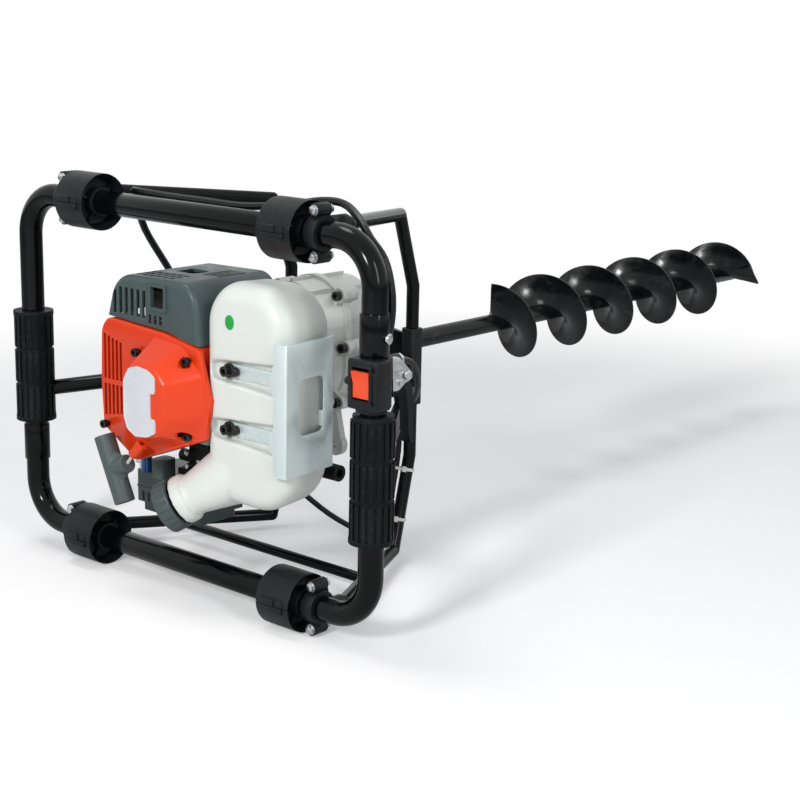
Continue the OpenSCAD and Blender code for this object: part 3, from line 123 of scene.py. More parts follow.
# %% [markdown]
# A pixel of the photograph is a ray through the camera. Small fittings are placed where this ray
# meets the finished surface that carries them.
# %% Place on a surface by pixel
def shown_mesh(obj):
    """The object's mesh with its modifiers, as it's seen."""
    return obj.evaluated_get(bpy.context.evaluated_depsgraph_get()).to_mesh()


def at_pixel(obj, x, y):
    """Where the ray of this pixel meets the object, and the normal there."""
    shown = shown_mesh(obj)
    tree = BVHTree.FromPolygons([obj.matrix_world @ v.co for v in shown.vertices],
                                [list(p.vertices) for p in shown.polygons])
    ray = Vector((x - W / 2 + shift_x * L, H / 2 - y + shift_y * L, -L * lens_mm / sensor_mm))
    return tree.ray_cast(camera_place, (camera.matrix_world.to_3x3() @ ray).normalized())[:2]


# %% [markdown]
# A material is a tree of shader nodes. Two short helpers keep such trees readable: one makes a
# node with its settings, and the other joins several outputs to inputs at once.
# %% Shader nodes
def node(tree, kind, **values):
    """A new shader node with some of its settings and input values."""
    made = tree.nodes.new(kind)
    for key, value in values.items():
        if key in made.inputs:
            made.inputs[key].default_value = value
        else:
            setattr(made, key, value)
    return made


def wire(tree, *links):
    """Each link is a node and its output, then a node and its input."""
    for a, output, b, into in links:
        tree.links.new(a.outputs[output], b.inputs[into])


# %% [markdown]
# The machine lies on a pale floor in a white studio. The camera sees the floor nearly white, and
# white far from the machine, and the floor still takes the shadow. That comes from the material
# and not from more light: Light Path tells the camera's rays from all others.
# %% Floor
bpy.context.scene.view_settings.view_transform = "Standard"
bpy.ops.mesh.primitive_plane_add(size=40, location=(0, 0, cad_low[2] - 0.0005))
floor = bpy.context.object
floor.name = "floor"
floor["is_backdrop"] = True
floor_mat = bpy.data.materials.new("pale_floor")
floor_mat.use_nodes = True
floor_tree = floor_mat.node_tree
floor_tree.nodes.clear()
floor_lift, fade_centre, fade_from, fade_to = 0.27, (-0.15, 0.55, 0), 0.55, 1.25
out = node(floor_tree, "ShaderNodeOutputMaterial")
matte = node(floor_tree, "ShaderNodeBsdfDiffuse", Color=(0.86, 0.86, 0.865, 1))
glow = node(floor_tree, "ShaderNodeEmission", Color=(1, 1, 1, 1))
path = node(floor_tree, "ShaderNodeLightPath")
lift = node(floor_tree, "ShaderNodeMath", operation="MULTIPLY")
lift.inputs[1].default_value = floor_lift
near = node(floor_tree, "ShaderNodeAddShader")
white = node(floor_tree, "ShaderNodeEmission", Color=(1, 1, 1, 1))
place = node(floor_tree, "ShaderNodeTexCoord")
far = node(floor_tree, "ShaderNodeVectorMath", operation="DISTANCE")
far.inputs[1].default_value = fade_centre
fade = node(floor_tree, "ShaderNodeMapRange", interpolation_type="SMOOTHSTEP",
            **{"From Min": fade_from, "From Max": fade_to})
seen_far = node(floor_tree, "ShaderNodeMath", operation="MULTIPLY")
mix = node(floor_tree, "ShaderNodeMixShader")
wire(floor_tree,
     (path, "Is Camera Ray", lift, 0), (lift, 0, glow, "Strength"),
     (matte, 0, near, 0), (glow, 0, near, 1),
     (place, "Object", far, 0), (far, "Value", fade, "Value"),
     (fade, "Result", seen_far, 0), (path, "Is Camera Ray", seen_far, 1),
     (seen_far, 0, mix, "Fac"), (near, 0, mix, 1), (white, 0, mix, 2), (mix, 0, out, "Surface"))
floor.data.materials.append(floor_mat)
print("floor at", round(floor.location.z, 4), "m")

# %% [markdown]
# The surround lights the machine softly and a little coolly. For the camera, and for what shiny
# and clear surfaces mirror, the same surround is plain white.
# %% White surround
world = bpy.data.worlds.new("studio")
bpy.context.scene.world = world
world.use_nodes = True
world_tree = world.node_tree
world_tree.nodes.clear()
sky_out = node(world_tree, "ShaderNodeOutputWorld")
sky_soft = node(world_tree, "ShaderNodeBackground", Color=(0.93, 0.95, 1.0, 1), Strength=0.26)
sky_white = node(world_tree, "ShaderNodeBackground", Color=(1, 1, 1, 1), Strength=1.0)
sky_mix = node(world_tree, "ShaderNodeMixShader")
sky_path = node(world_tree, "ShaderNodeLightPath")
sky_shine = node(world_tree, "ShaderNodeMath", operation="MAXIMUM")
sky_any = node(world_tree, "ShaderNodeMath", operation="MAXIMUM")
wire(world_tree,
     (sky_path, "Is Glossy Ray", sky_shine, 0), (sky_path, "Is Transmission Ray", sky_shine, 1),
     (sky_path, "Is Camera Ray", sky_any, 0), (sky_shine, 0, sky_any, 1),
     (sky_any, 0, sky_mix, "Fac"), (sky_soft, 0, sky_mix, 1), (sky_white, 0, sky_mix, 2),
     (sky_mix, 0, sky_out, "Surface"))
print("surround:", len(world_tree.nodes), "nodes")

# %% [markdown]
# Three lamps give the shapes: the strongest in front, a tall one from the right and a soft one
# above. Each is a rectangle that is turned towards its target.
# %% Lamps
def lamp(name, place, target, size, power):
    data = bpy.data.lights.new(name, "AREA")
    data.shape = "RECTANGLE"
    data.size, data.size_y = size
    data.energy = power
    obj = bpy.data.objects.new(name, data)
    bpy.context.scene.collection.objects.link(obj)
    obj.location = place
    obj.rotation_euler = (Vector(target) - Vector(place)).to_track_quat("-Z", "Y").to_euler()


lamp("lamp_above", (-0.5, -0.1, 2.1), (0.1, 0.4, 0.0), (0.7, 0.7), 13)
lamp("lamp_front", (0.62, -2.35, 1.3), (0.0, 0.0, 0.0), (0.45, 0.45), 42)
lamp("lamp_right", (2.4, -0.6, 1.1), (0.0, 0.2, 0.0), (0.4, 1.4), 20)

# %% [markdown]
# Every finish is built from the same few steps: a colour that wanders a little, a roughness that
# is uneven, and a grain that is felt as bumps. Only the numbers differ between a moulded plastic,
# a powder coat and a casting. The patterns read the object's own coordinates in metres.
# %% One recipe for the finishes
def finish(name, colour, second=None, patch=9.0, rough=0.4, spread=0.08, grain=900.0, bumps=0.1,
           deep=0.0, metallic=0.0, coat=0.0, dust=0.0, stretch=None, specular=None):
    """patch: colour patches per metre; grain and bumps: the fine surface; deep: a slow wave."""
    mat = bpy.data.materials.new(name)
    mat.use_nodes = True
    tree = mat.node_tree
    link = tree.links.new
    shader = tree.nodes["Principled BSDF"]
    place = node(tree, "ShaderNodeTexCoord").outputs["Object"]
    if stretch:
        turn = node(tree, "ShaderNodeMapping", Scale=stretch)
        link(place, turn.inputs["Vector"])
        place = turn.outputs["Vector"]

    def noise(scale, detail):
        cloud = node(tree, "ShaderNodeTexNoise", Scale=scale, Detail=detail)
        link(place, cloud.inputs["Vector"])
        return cloud.outputs["Fac"]

    def remap(value, low, high, to_low, to_high):
        span = node(tree, "ShaderNodeMapRange", **{"From Min": low, "From Max": high,
                                                   "To Min": to_low, "To Max": to_high})
        link(value, span.inputs["Value"])
        return span.outputs["Result"]

    def bumped(height, strength, distance):
        bump = node(tree, "ShaderNodeBump", Strength=strength, Distance=distance)
        link(height, bump.inputs["Height"])
        return bump

    ramp = node(tree, "ShaderNodeValToRGB")
    first, last = ramp.color_ramp.elements
    first.position, last.position = 0.35, 0.68
    first.color = (*colour, 1)
    last.color = (*(second or [min(1, c * 1.12 + 0.004) for c in colour]), 1)
    link(noise(patch, 5), ramp.inputs["Fac"])
    colour_out = ramp.outputs["Color"]
    shiny, dull = max(0.02, rough - spread), min(1.0, rough + spread)
    link(remap(noise(patch * 4.3, 6), 0.3, 0.7, shiny, dull), shader.inputs["Roughness"])
    if dust:
        over = node(tree, "ShaderNodeMix", data_type="RGBA")
        over.inputs[7].default_value = (0.5, 0.5, 0.49, 1)
        link(remap(noise(grain * 0.21, 8), 0.56, 0.7, 0.0, dust), over.inputs["Factor"])
        link(colour_out, over.inputs[6])
        colour_out = over.outputs[2]
    link(colour_out, shader.inputs["Base Color"])
    bump = bumped(noise(grain, 3), min(1.0, bumps), 0.0004)
    if deep:
        link(bumped(noise(34, 1), deep, 0.002).outputs["Normal"], bump.inputs["Normal"])
    link(bump.outputs["Normal"], shader.inputs["Normal"])
    shader.inputs["Metallic"].default_value = metallic
    if coat:
        shader.inputs["Coat Weight"].default_value = coat
        shader.inputs["Coat Roughness"].default_value = 0.1
    if specular is not None:
        shader.inputs["Specular IOR Level"].default_value = specular
    return mat


# %% [markdown]
# Each row is one finish of this machine: gloss coats on the tubes, dull and glossy mouldings, zinc,
# cast alloy, oiled steel. The first colour is the darker one, and it wanders towards the second.
# %% The machine's finishes
finishes = {
    "black_paint": finish("gloss_black_coat", (0.0012, 0.0016, 0.0018), (0.003, 0.0036, 0.004),
                          rough=0.13, spread=0.04, grain=420, bumps=0.04, specular=0.18),
    "flight_paint": finish("flight_black_coat", (0.002, 0.0025, 0.003), (0.006, 0.0066, 0.007),
                           patch=20, rough=0.2, spread=0.08, grain=300, bumps=0.1, specular=0.3,
                           dust=0.03),
    "black_plastic": finish("black_moulding", (0.004, 0.0055, 0.0058), (0.008, 0.0105, 0.011),
                            rough=0.44, grain=1500, bumps=0.16, dust=0.02, specular=0.22),
    "grip_rubber": finish("grip_rubber", (0.002, 0.0036, 0.0036), (0.005, 0.0075, 0.0075),
                          rough=0.5, spread=0.1, grain=1300, bumps=0.2, dust=0.02, specular=0.13),
    "zinc": finish("bright_zinc", (0.5, 0.53, 0.55), (0.62, 0.64, 0.65), rough=0.26, grain=700,
                   bumps=0.08, metallic=1.0),
    "zinc_sheet": finish("zinc_sheet", (0.6, 0.72, 0.73), (0.74, 0.82, 0.8), patch=7,
                         rough=0.3, spread=0.05, grain=260, bumps=0.03, metallic=0.3),
    "black_screw": finish("black_oxide", (0.004, 0.0045, 0.005), (0.008, 0.009, 0.01), rough=0.3,
                          grain=800, bumps=0.08, specular=0.4),
    "red_plastic": finish("red_moulding", (0.82, 0.07, 0.02), (0.88, 0.1, 0.03), rough=0.34,
                          grain=1400, bumps=0.12, specular=0.3),
    "orange_plastic": finish("orange_cover", (0.7, 0.036, 0.003), (0.78, 0.052, 0.004), patch=7,
                             rough=0.2, spread=0.06, grain=600, bumps=0.05, deep=0.08,
                             specular=0.4),
    "panel_plastic": finish("pale_panel", (0.58, 0.6, 0.64), (0.68, 0.7, 0.73), rough=0.28,
                            grain=900, bumps=0.05),
    "cowl_plastic": finish("slate_cowl", (0.05, 0.075, 0.076), (0.066, 0.095, 0.095), rough=0.4,
                           grain=1300, bumps=0.2, dust=0.03, specular=0.3),
    "grey_plastic": finish("slate_moulding", (0.06, 0.082, 0.083), (0.082, 0.105, 0.106),
                           rough=0.42, grain=1300, bumps=0.14, specular=0.3),
    "tank_plastic": finish("milky_tank", (0.7, 0.745, 0.7), (0.75, 0.79, 0.75), patch=5,
                           rough=0.36, spread=0.08, grain=700, bumps=0.08, deep=0.15,
                           specular=0.4),
    "cast_alloy": finish("die_casting", (0.51, 0.54, 0.515), (0.62, 0.65, 0.62), patch=14,
                         rough=0.42, spread=0.1, grain=760, bumps=0.4, metallic=0.3, dust=0.08),
    "gear_steel": finish("oiled_steel", (0.35, 0.35, 0.36), (0.46, 0.46, 0.47), rough=0.28,
                         grain=600, bumps=0.08, metallic=1.0),
    "dark_steel": finish("heatproof_grey", (0.1, 0.1, 0.1), (0.16, 0.15, 0.14), rough=0.6,
                         grain=700, bumps=0.3, metallic=0.6),
    "lining": finish("friction_lining", (0.2, 0.15, 0.11), (0.3, 0.24, 0.19), patch=60, rough=0.8,
                     grain=1200, bumps=0.5),
    "ceramic": finish("glazed_ceramic", (0.75, 0.73, 0.68), rough=0.12, grain=300, bumps=0.03,
                      coat=0.5),
    "cable_black": finish("cable_sleeve", (0.003, 0.0036, 0.004), (0.006, 0.007, 0.008),
                          rough=0.34, grain=900, bumps=0.1, specular=0.25),
    "tie_white": finish("nylon_tie", (0.7, 0.7, 0.66), rough=0.35, grain=900, bumps=0.06),
}
slot_of = {s["node"]: s["material_slot"] for s in frame["record"]["subparts"]}
print("finishes:", len(finishes))

# %% [markdown]
# The CAD solids have perfectly sharp edges, which no moulding or casting has. Their own meshes
# stay as they are, but modifiers may be put on them: Weld joins the loose triangles, and Bevel
# rounds each sharp edge a little, so that it catches the light.
# %% Finish and soften the CAD pieces
edge_round = {"cast_alloy": 0.0007, "cowl_plastic": 0.0012, "orange_plastic": 0.0009,
              "tank_plastic": 0.001, "black_plastic": 0.0006, "grip_rubber": 0.0005,
              "zinc_sheet": 0.0003}
for name, obj in nodes.items():
    slot = slot_of[name]
    obj.data.materials.clear()
    obj.data.materials.append(finishes[slot])
    weld = obj.modifiers.new("weld", "WELD")
    weld.merge_threshold = 0.00001
    bevel = obj.modifiers.new("edges", "BEVEL")
    bevel.width = edge_round.get(slot, 0.0004)
    bevel.segments = 2
    bevel.limit_method = "ANGLE"
    bevel.angle_limit = math.radians(35)
print("softened:", len(nodes))

# %% [markdown]
# The pieces that CAD keeps plain are modelled again by hand. Each one starts from a primitive at
# its size and place, and that place goes into its mesh. Bars and boxes are the commonest starts.
# %% Start a piece
def only(*objs):
    if bpy.context.object and bpy.context.object.mode != "OBJECT":
        bpy.ops.object.mode_set(mode="OBJECT")
    bpy.ops.object.select_all(action="DESELECT")
    for obj in objs:
        obj.select_set(True)
    bpy.context.view_layer.objects.active = objs[0]


def along(way):
    """The turn that puts an object's own z axis along this way."""
    return way.to_track_quat("Z", "Y").to_euler()


def begin(name, add, apply=True, **how):
    """Add a primitive at its size and place, and put that place in its mesh."""
    only(camera)
    bpy.ops.object.select_all(action="DESELECT")
    add(**how)
    obj = bpy.context.object
    obj.name = obj.data.name = name
    if apply:
        bpy.ops.object.transform_apply(location=True, rotation=True, scale=True)
    return obj


def box_piece(name, low, high):
    low, high = Vector(low), Vector(high)
    return begin(name, bpy.ops.mesh.primitive_cube_add, size=1, location=(low + high) / 2,
                 scale=high - low)


def bar(name, a, b, radius, around=32):
    """A round bar from a to b."""
    a, b = Vector(a), Vector(b)
    return begin(name, bpy.ops.mesh.primitive_cylinder_add, vertices=around, radius=radius,
                 depth=(b - a).length, location=(a + b) / 2, rotation=along(b - a))


def rod(name, axis, at, low, high, radius, around=32):
    """A round bar along x, y or z, from low to high; at is its place on the other two axes."""
    ends = [list(at), list(at)]
    for end, value in zip(ends, (low, high)):
        end.insert("xyz".index(axis), value)
    return bar(name, *ends, radius, around)


# %% [markdown]
# In edit mode the elements are selected by where they lie, as a modeller would click them. What
# follows the selection is one step: a bevel, an inset that is pushed in, or a move of the points.
# %% Select by place, and edit
def pick(obj, kind, test):
    """Select in edit mode the vertices, edges or faces whose middle passes the test."""
    only(obj)
    bpy.ops.object.mode_set(mode="EDIT")
    bpy.ops.mesh.select_mode(type=kind)
    bpy.ops.mesh.select_all(action="DESELECT")
    bm = bmesh.from_edit_mesh(obj.data)
    for item in {"VERT": bm.verts, "EDGE": bm.edges, "FACE": bm.faces}[kind]:
        corners = [item] if kind == "VERT" else item.verts
        if test(sum((v.co for v in corners), Vector()) / len(corners), item):
            item.select_set(True)
    bm.select_flush_mode()
    bmesh.update_edit_mesh(obj.data)


def run(e):
    """How far an edge runs along each axis."""
    return Vector([abs(d) for d in e.verts[0].co - e.verts[1].co])


def round_edges(obj, offset, segments, test):
    """Bevel the edges that pass the test."""
    pick(obj, "EDGE", test)
    bpy.ops.mesh.bevel(offset=offset, segments=segments, affect="EDGES")
    bpy.ops.object.mode_set(mode="OBJECT")


def push_face(obj, thickness, shift, test):
    """Inset the faces that pass the test, and move what they enclose."""
    pick(obj, "FACE", test)
    bpy.ops.mesh.inset(thickness=thickness)
    bpy.ops.transform.translate(value=shift)
    bpy.ops.object.mode_set(mode="OBJECT")


def move_points(obj, change, test=lambda m, v: True):
    """Move each vertex that passes the test: change takes its place and gives the new one."""
    pick(obj, "VERT", test)
    bm = bmesh.from_edit_mesh(obj.data)
    for v in bm.verts:
        if v.select:
            v.co = change(v.co)
    bmesh.update_edit_mesh(obj.data)
    bpy.ops.object.mode_set(mode="OBJECT")


def settle(obj):
    """Put the object's place and turn in its mesh."""
    only(obj)
    bpy.ops.object.transform_apply(location=True, rotation=True, scale=True)


# %% [markdown]
# Many pieces are an outline with a thickness: plates, cheeks, levers, bent sheets. The corners of
# an n-gon are moved to the outline, and the face is extruded along one way.
# %% Draw an outline and extrude it
def drawn(name, points, shift):
    """A closed solid: a face with these corners, extruded by the shift."""
    obj = begin(name, bpy.ops.mesh.primitive_circle_add, vertices=len(points), radius=0.1,
                fill_type="NGON")
    pick(obj, "VERT", lambda m, v: True)
    bm = bmesh.from_edit_mesh(obj.data)
    bm.verts.ensure_lookup_table()
    for v, p in zip(bm.verts, points):
        v.co = Vector(p)
    bmesh.update_edit_mesh(obj.data)
    bpy.ops.mesh.select_all(action="SELECT")
    bpy.ops.mesh.extrude_region_move(TRANSFORM_OT_translate={"value": shift})
    bpy.ops.mesh.select_all(action="SELECT")
    bpy.ops.mesh.normals_make_consistent(inside=False)
    bpy.ops.object.mode_set(mode="OBJECT")
    return obj


def plate(name, outline, y0, y1):
    """A plate with this outline of (x, z) in metres, between y0 and y1."""
    return drawn(name, [(x, y0, z) for x, z in outline], (0, y1 - y0, 0))


def across(name, outline, x0, x1):
    """A solid with this outline of (y, z) in metres, between x0 and x1."""
    return drawn(name, [(x0, y, z) for y, z in outline], (x1 - x0, 0, 0))


def along_y(m, e):
    return run(e).normalized().y > 0.9


# %% [markdown]
# Booleans add and cut, and a small bevel comes last, so that every edge is soft. Then the piece is
# closed: its shading is smoothed by angle, and it rides on its body in place of its solid.
# %% Add, cut, soften and close a piece
def modify(obj, kind, **how):
    only(obj)
    mod = obj.modifiers.new(kind.lower(), kind)
    for key, value in how.items():
        setattr(mod, key, value)
    bpy.ops.object.modifier_apply(modifier=mod.name)


def soften(obj, width, segments=3, angle=30):
    modify(obj, "BEVEL", width=width, segments=segments, limit_method="ANGLE",
           angle_limit=math.radians(angle))


def cut(obj, *tools, how="DIFFERENCE"):
    for tool in tools:
        modify(obj, "BOOLEAN", object=tool, operation=how, solver="EXACT")
        bpy.data.objects.remove(tool)


def add(obj, *tools):
    cut(obj, *tools, how="UNION")


def join(*objs):
    only(*objs)
    bpy.ops.object.join()
    return objs[0]


def dress(obj, look, angle):
    """Smooth the shading by angle, and give the piece its finish."""
    only(obj)
    bpy.ops.object.shade_smooth_by_angle(angle=math.radians(angle))
    obj.data.materials.clear()
    obj.data.materials.append(finishes[look])


def ready(obj, mat, body, *stands_for, angle=35, look=None):
    """The finished piece: shading, finish, body, and the CAD nodes that it stands for."""
    dress(obj, look or mat, angle)
    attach(obj, body)
    if stands_for:
        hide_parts(*stands_for)
    print(obj.name, len(obj.data.polygons), "faces")
    return obj


# %% [markdown]
# The tank is blow-moulded: a hot tube of milky plastic is blown against a mould, so every edge is
# round and the walls swell a little. Two deep grooves take the strap arms of the bracket. The
# block is bevelled, grooves and neck are made with Booleans, and a voxel Remesh with a short
# smoothing melts them into one skin, as the blowing does.
# %% Fuel tank
tank_y, tank_x0, tank_z = 0.063, 0.047, 0.015
groove_z, groove_w, screw_x = (0.039, -0.02), 0.0092, 0.079
tank = box_piece("fuel_tank_skin", (tank_x0, -0.025, -0.098), (0.161, tank_y, 0.128))
round_edges(tank, 0.045, 12, lambda m, e: run(e).y > 0.05)
round_edges(tank, 0.02, 8, lambda m, e: abs(m.y + 0.025) < 1e-4)
round_edges(tank, 0.033, 10, lambda m, e: abs(m.y - tank_y) < 1e-4)


def narrowed(c):
    """The tank grows a little narrower and lower towards its back."""
    back = max(0.0, c.y / tank_y) ** 2
    return Vector((c.x - (c.x - tank_x0) * 0.1 * back, c.y, c.z - (c.z - tank_z) * 0.08 * back))


move_points(tank, narrowed)
for z in groove_z:
    groove = box_piece("groove", (0.0575, -0.04, z - groove_w), (0.18, -0.0135, z + groove_w))
    move_points(groove, lambda c: c + Vector((0, 0, 0.009 if c.z > z else -0.007)),
                lambda m, v: m.x > 0.17)
    round_edges(groove, 0.0085, 8, lambda m, e: m.x < 0.06 and run(e).y > 0.01)
    round_edges(groove, 0.004, 4, lambda m, e: m.y > -0.0137)
    cut(tank, groove)
neck_root = Vector((0.075, 0.008, -0.0655))
neck_end = Vector((0.017, -0.028, -0.106))
neck_way = (neck_end - neck_root).normalized()
add(tank, bar("neck", neck_root, neck_end - neck_way * 0.006, 0.0222, 40))
add(tank, begin("flare", bpy.ops.mesh.primitive_cone_add, vertices=40, radius1=0.036,
                radius2=0.0224, depth=0.058, location=neck_root + neck_way * 0.029,
                rotation=along(neck_way)))
add(tank, bar("collar", neck_end - neck_way * 0.013, neck_end - neck_way * 0.001, 0.0256, 40))
modify(tank, "REMESH", mode="VOXEL", voxel_size=0.0015)
modify(tank, "SMOOTH", factor=0.5, iterations=12)
ready(tank, "tank_plastic", "frame", "fuel_tank", angle=60)

# %% [markdown]
# The flighting is one ribbon that winds round the tube at a constant pitch. A strip is turned with
# a Screw modifier, whose offset is the length along the tube. The strip is wider at its root,
# where the weld bead runs, and its outer corners are slightly round.
# %% Auger flights, tube and socket
drive_z = 0.006
flight_from, flight_to, pitch = 0.506, 1.078, 0.109
root_r, rim_r, half_t = 0.0106, 0.05, 0.0017


def weld_bead(c):
    """The strip's half thickness grows at the root and shrinks at the rim."""
    bead = 0.003 * max(0.0, 1 - (c.z - root_r) / 0.006) ** 2
    tip = 1.0 if c.z < 0.049 else 0.62
    return Vector((c.x, math.copysign(min(1, abs(c.y) / half_t), c.y) * (half_t * tip + bead), c.z))


strip = begin("auger_bit_steel", bpy.ops.mesh.primitive_plane_add, size=1, apply=False,
              location=(0, flight_from, drive_z))
move_points(strip, lambda c: Vector((0, math.copysign(half_t, c.y), root_r if c.x < 0 else rim_r)))
pick(strip, "VERT", lambda m, v: True)
bpy.ops.mesh.subdivide(number_cuts=7)
move_points(strip, weld_bead)
pick(strip, "VERT", lambda m, v: not v.is_boundary)
bpy.ops.mesh.delete(type="VERT")
bpy.ops.mesh.select_all(action="SELECT")
bpy.ops.mesh.delete(type="ONLY_FACE")
turns = (flight_to - flight_from) / pitch
modify(strip, "SCREW", axis="Y", angle=2 * math.pi * turns, screw_offset=flight_to - flight_from,
       steps=int(72 * turns), render_steps=int(72 * turns), use_smooth_shade=True)
print("flights:", len(strip.data.polygons), "faces,", round(turns, 2), "turns")

# %% [markdown]
# The ribbon's open ends are filled, so it's a closed solid. The tube ends flat at the blade, and a
# wider socket at the other end takes the gearbox's shaft.
# %% Close the flights and add the bit's tube
pick(strip, "EDGE", lambda m, e: e.is_boundary)
bpy.ops.mesh.fill()
bpy.ops.mesh.select_all(action="SELECT")
bpy.ops.mesh.remove_doubles(threshold=0.00001)
bpy.ops.mesh.normals_make_consistent(inside=False)
bpy.ops.object.mode_set(mode="OBJECT")
settle(strip)
tube = rod("tube", "y", (0, drive_z), 0.3, 1.098, 0.011, 48)
soften(tube, 0.0012, 3)
socket = rod("socket", "y", (0, drive_z), 0.262, 0.312, 0.016, 48)
push_face(socket, 0.0035, (0, 0.004, 0), lambda m, f: m.y > 0.311)
push_face(socket, 0.0055, (0, 0.012, 0), lambda m, f: m.y < 0.263)
soften(socket, 0.0008, 2)
auger = join(strip, tube, socket)
ready(auger, "black_paint", "auger", "auger_bit", look="flight_paint")

# %% [markdown]
# The cowl over the engine is one thick moulding with generous round edges. Its outline is drawn by
# moving the corners of a plate, extruded back, and then bevelled. The slots and the window are cut
# with Booleans before the last small bevel, so every opening has a soft edge too.
# %% Engine cowl
cowl = plate("engine_cowl_shell", [(-0.0945, 0.073), (-0.085, 0.105), (-0.069, 0.118),
             (0.026, 0.12), (0.04, 0.106), (0.0455, 0.058), (-0.001, 0.0676)], -0.027, 0.088)
round_edges(cowl, 0.009, 5, lambda m, e: along_y(m, e) and m.z > 0.09)
round_edges(cowl, 0.006, 5, lambda m, e: m.y < -0.0265 and m.z > 0.0735)
side = box_piece("side_box", (-0.112, 0.009, -0.0359), (-0.06, 0.088, 0.078))
soften(side, 0.006, 4)
add(cowl, side)
cut(cowl, plate("room", [(-0.0915, 0.06), (-0.0915, 0.0735), (-0.082, 0.104), (-0.0675, 0.115),
                (0.0245, 0.117), (0.037, 0.105), (0.042, 0.05)], -0.0245, 0.0855))
cut(cowl, box_piece("side_room", (-0.1095, 0.0115, -0.0334), (-0.058, 0.0855, 0.0755)))
tools = []
for i in range(6):
    x = -0.083 + 0.009 * i
    top = 0.101 if i == 0 else 0.105
    tools.append(box_piece("slot", (x, -0.03, 0.077), (x + 0.0046, -0.02, top)))
for i in range(3):
    x = -0.029 + 0.008 * i
    tools.append(box_piece("slot", (x, -0.03, 0.0725), (x + 0.0044, -0.02, 0.0815)))
for i in range(6):
    y = 0.02 + 0.009 * i
    tools.append(box_piece("slot", (-0.115, y, 0.034), (-0.107, y + 0.0045, 0.07)))
    x = -0.104 + 0.008 * i
    tools.append(box_piece("slot", (x, 0.083, -0.024), (x + 0.004, 0.092, 0.03)))
for i in range(6):
    for j in range(3):
        x, y = -0.062 + 0.01 * i, -0.016 + 0.01 * j
        tools.append(box_piece("grid", (x, y, 0.11), (x + 0.0074, y + 0.007, 0.13)))
for i in range(4):
    x = -0.006 + 0.007 * i
    tools.append(box_piece("slot", (x, 0.026, 0.112), (x + 0.004, 0.066, 0.13)))
tools.append(box_piece("outlet", (-0.044, 0.024, 0.11), (-0.018, 0.048, 0.13)))
tools.append(rod("outlet_bore", "z", (-0.026, 0.036), 0.108, 0.13, 0.012))
tools.append(rod("plug_bore", "x", (0.039, 0.006), -0.12, -0.105, 0.017))
tools.append(rod("wire_bore", "y", (-0.064, 0.04), 0.08, 0.092, 0.005))
cut(cowl, *tools)
add(cowl, box_piece("window_rim", (-0.0265, -0.0292, 0.0865), (-0.0005, -0.0245, 0.1145)))
cut(cowl, box_piece("window", (-0.023, -0.031, 0.09), (-0.004, -0.02, 0.111)))
soften(cowl, 0.0006, 2, angle=40)
ready(cowl, "cowl_plastic", "frame", "engine_cowl")

# %% [markdown]
# The starter cover is glossy orange. On its flat body stands a faceted drum like a cut stone. The
# drum is the outline of its foot, extruded, and the far corners are moved to the outline of its
# face. So each facet stays a flat plane with a narrow round edge that catches the light.
# %% Faceted drum
foot = [(-0.046, 0.032), (-0.016, 0.061), (0.026, 0.058), (0.056, 0.03), (0.059, -0.01),
        (0.046, -0.036), (-0.018, -0.062), (-0.046, -0.04)]
face = [(-0.029, 0.024), (-0.015, 0.039), (0.014, 0.038), (0.03, 0.022), (0.03, -0.016),
        (0.017, -0.033), (-0.014, -0.038), (-0.029, -0.024)]


def drum(name, grow, y_foot, y_face):
    """The faceted drum, grown by some metres, between its foot and its face."""
    def out(p):
        q = Vector(p) - Vector((0.004, -0.001))
        return tuple(Vector(p) + q.normalized() * grow)
    obj = plate(name, [out(p) for p in foot], y_foot, y_face)

    def on_face(c):
        near = min(range(8), key=lambda k: (Vector(out(foot[k])) - Vector((c.x, c.z))).length)
        x, z = out(face[near])
        return Vector((x, c.y, z))

    move_points(obj, on_face, lambda m, v: abs(m.y - y_face) < 1e-5)
    return obj


# %% [markdown]
# The cover's body is a plate with the engine's outline. The drum is added to it, and both are made
# hollow by a smaller plate and a smaller drum. The screws' seats and the air slots are cut last.
# %% Starter cover
body_line = [(-0.099, 0.059), (-0.089, 0.0715), (-0.001, 0.066), (0.049, 0.056), (0.065, 0.007),
             (0.058, -0.034), (-0.047, -0.075), (-0.098, -0.046), (-0.101, 0.002)]
cover = plate("starter_cover_shell", body_line, -0.031, 0.002)
round_edges(cover, 0.006, 4, lambda m, e: along_y(m, e) and m.x < 0.04)
cut(cover, box_piece("tank_side", (0.0465, -0.0256, -0.1), (0.08, 0.01, 0.1)))
round_edges(cover, 0.0022, 3, lambda m, e: m.y < -0.0305)
shell = drum("drum", 0.0, -0.03, -0.062)
round_edges(shell, 0.0042, 4, lambda m, e: m.y < -0.0315)
add(cover, shell)
add(cover, bar("rope_boss", (-0.031, -0.048, -0.062), (-0.016, -0.048, -0.047), 0.0056))
cut(cover, plate("inner", [(-0.0965, 0.0585), (-0.088, 0.069), (-0.001, 0.0635), (0.044, 0.0545),
                 (0.044, -0.0365), (-0.047, -0.0723), (-0.0955, -0.0445), (-0.0985, 0.002)],
                 -0.0285, 0.01))
cut(cover, drum("drum_room", -0.0025, -0.0292, -0.0595))
cover_screws_at = ((-0.039, 0.042), (0.037, 0.044), (0.038, -0.033), (-0.09, -0.042))
tools = [bar("rope_bore", (-0.042, -0.048, -0.073), (-0.008, -0.048, -0.039), 0.0025)]
for x, z in cover_screws_at:
    tools.append(rod("seat", "y", (x, z), -0.075, -0.0335, 0.0066, 40))
    tools.append(rod("hole", "y", (x, z), -0.06, 0.01, 0.0027))
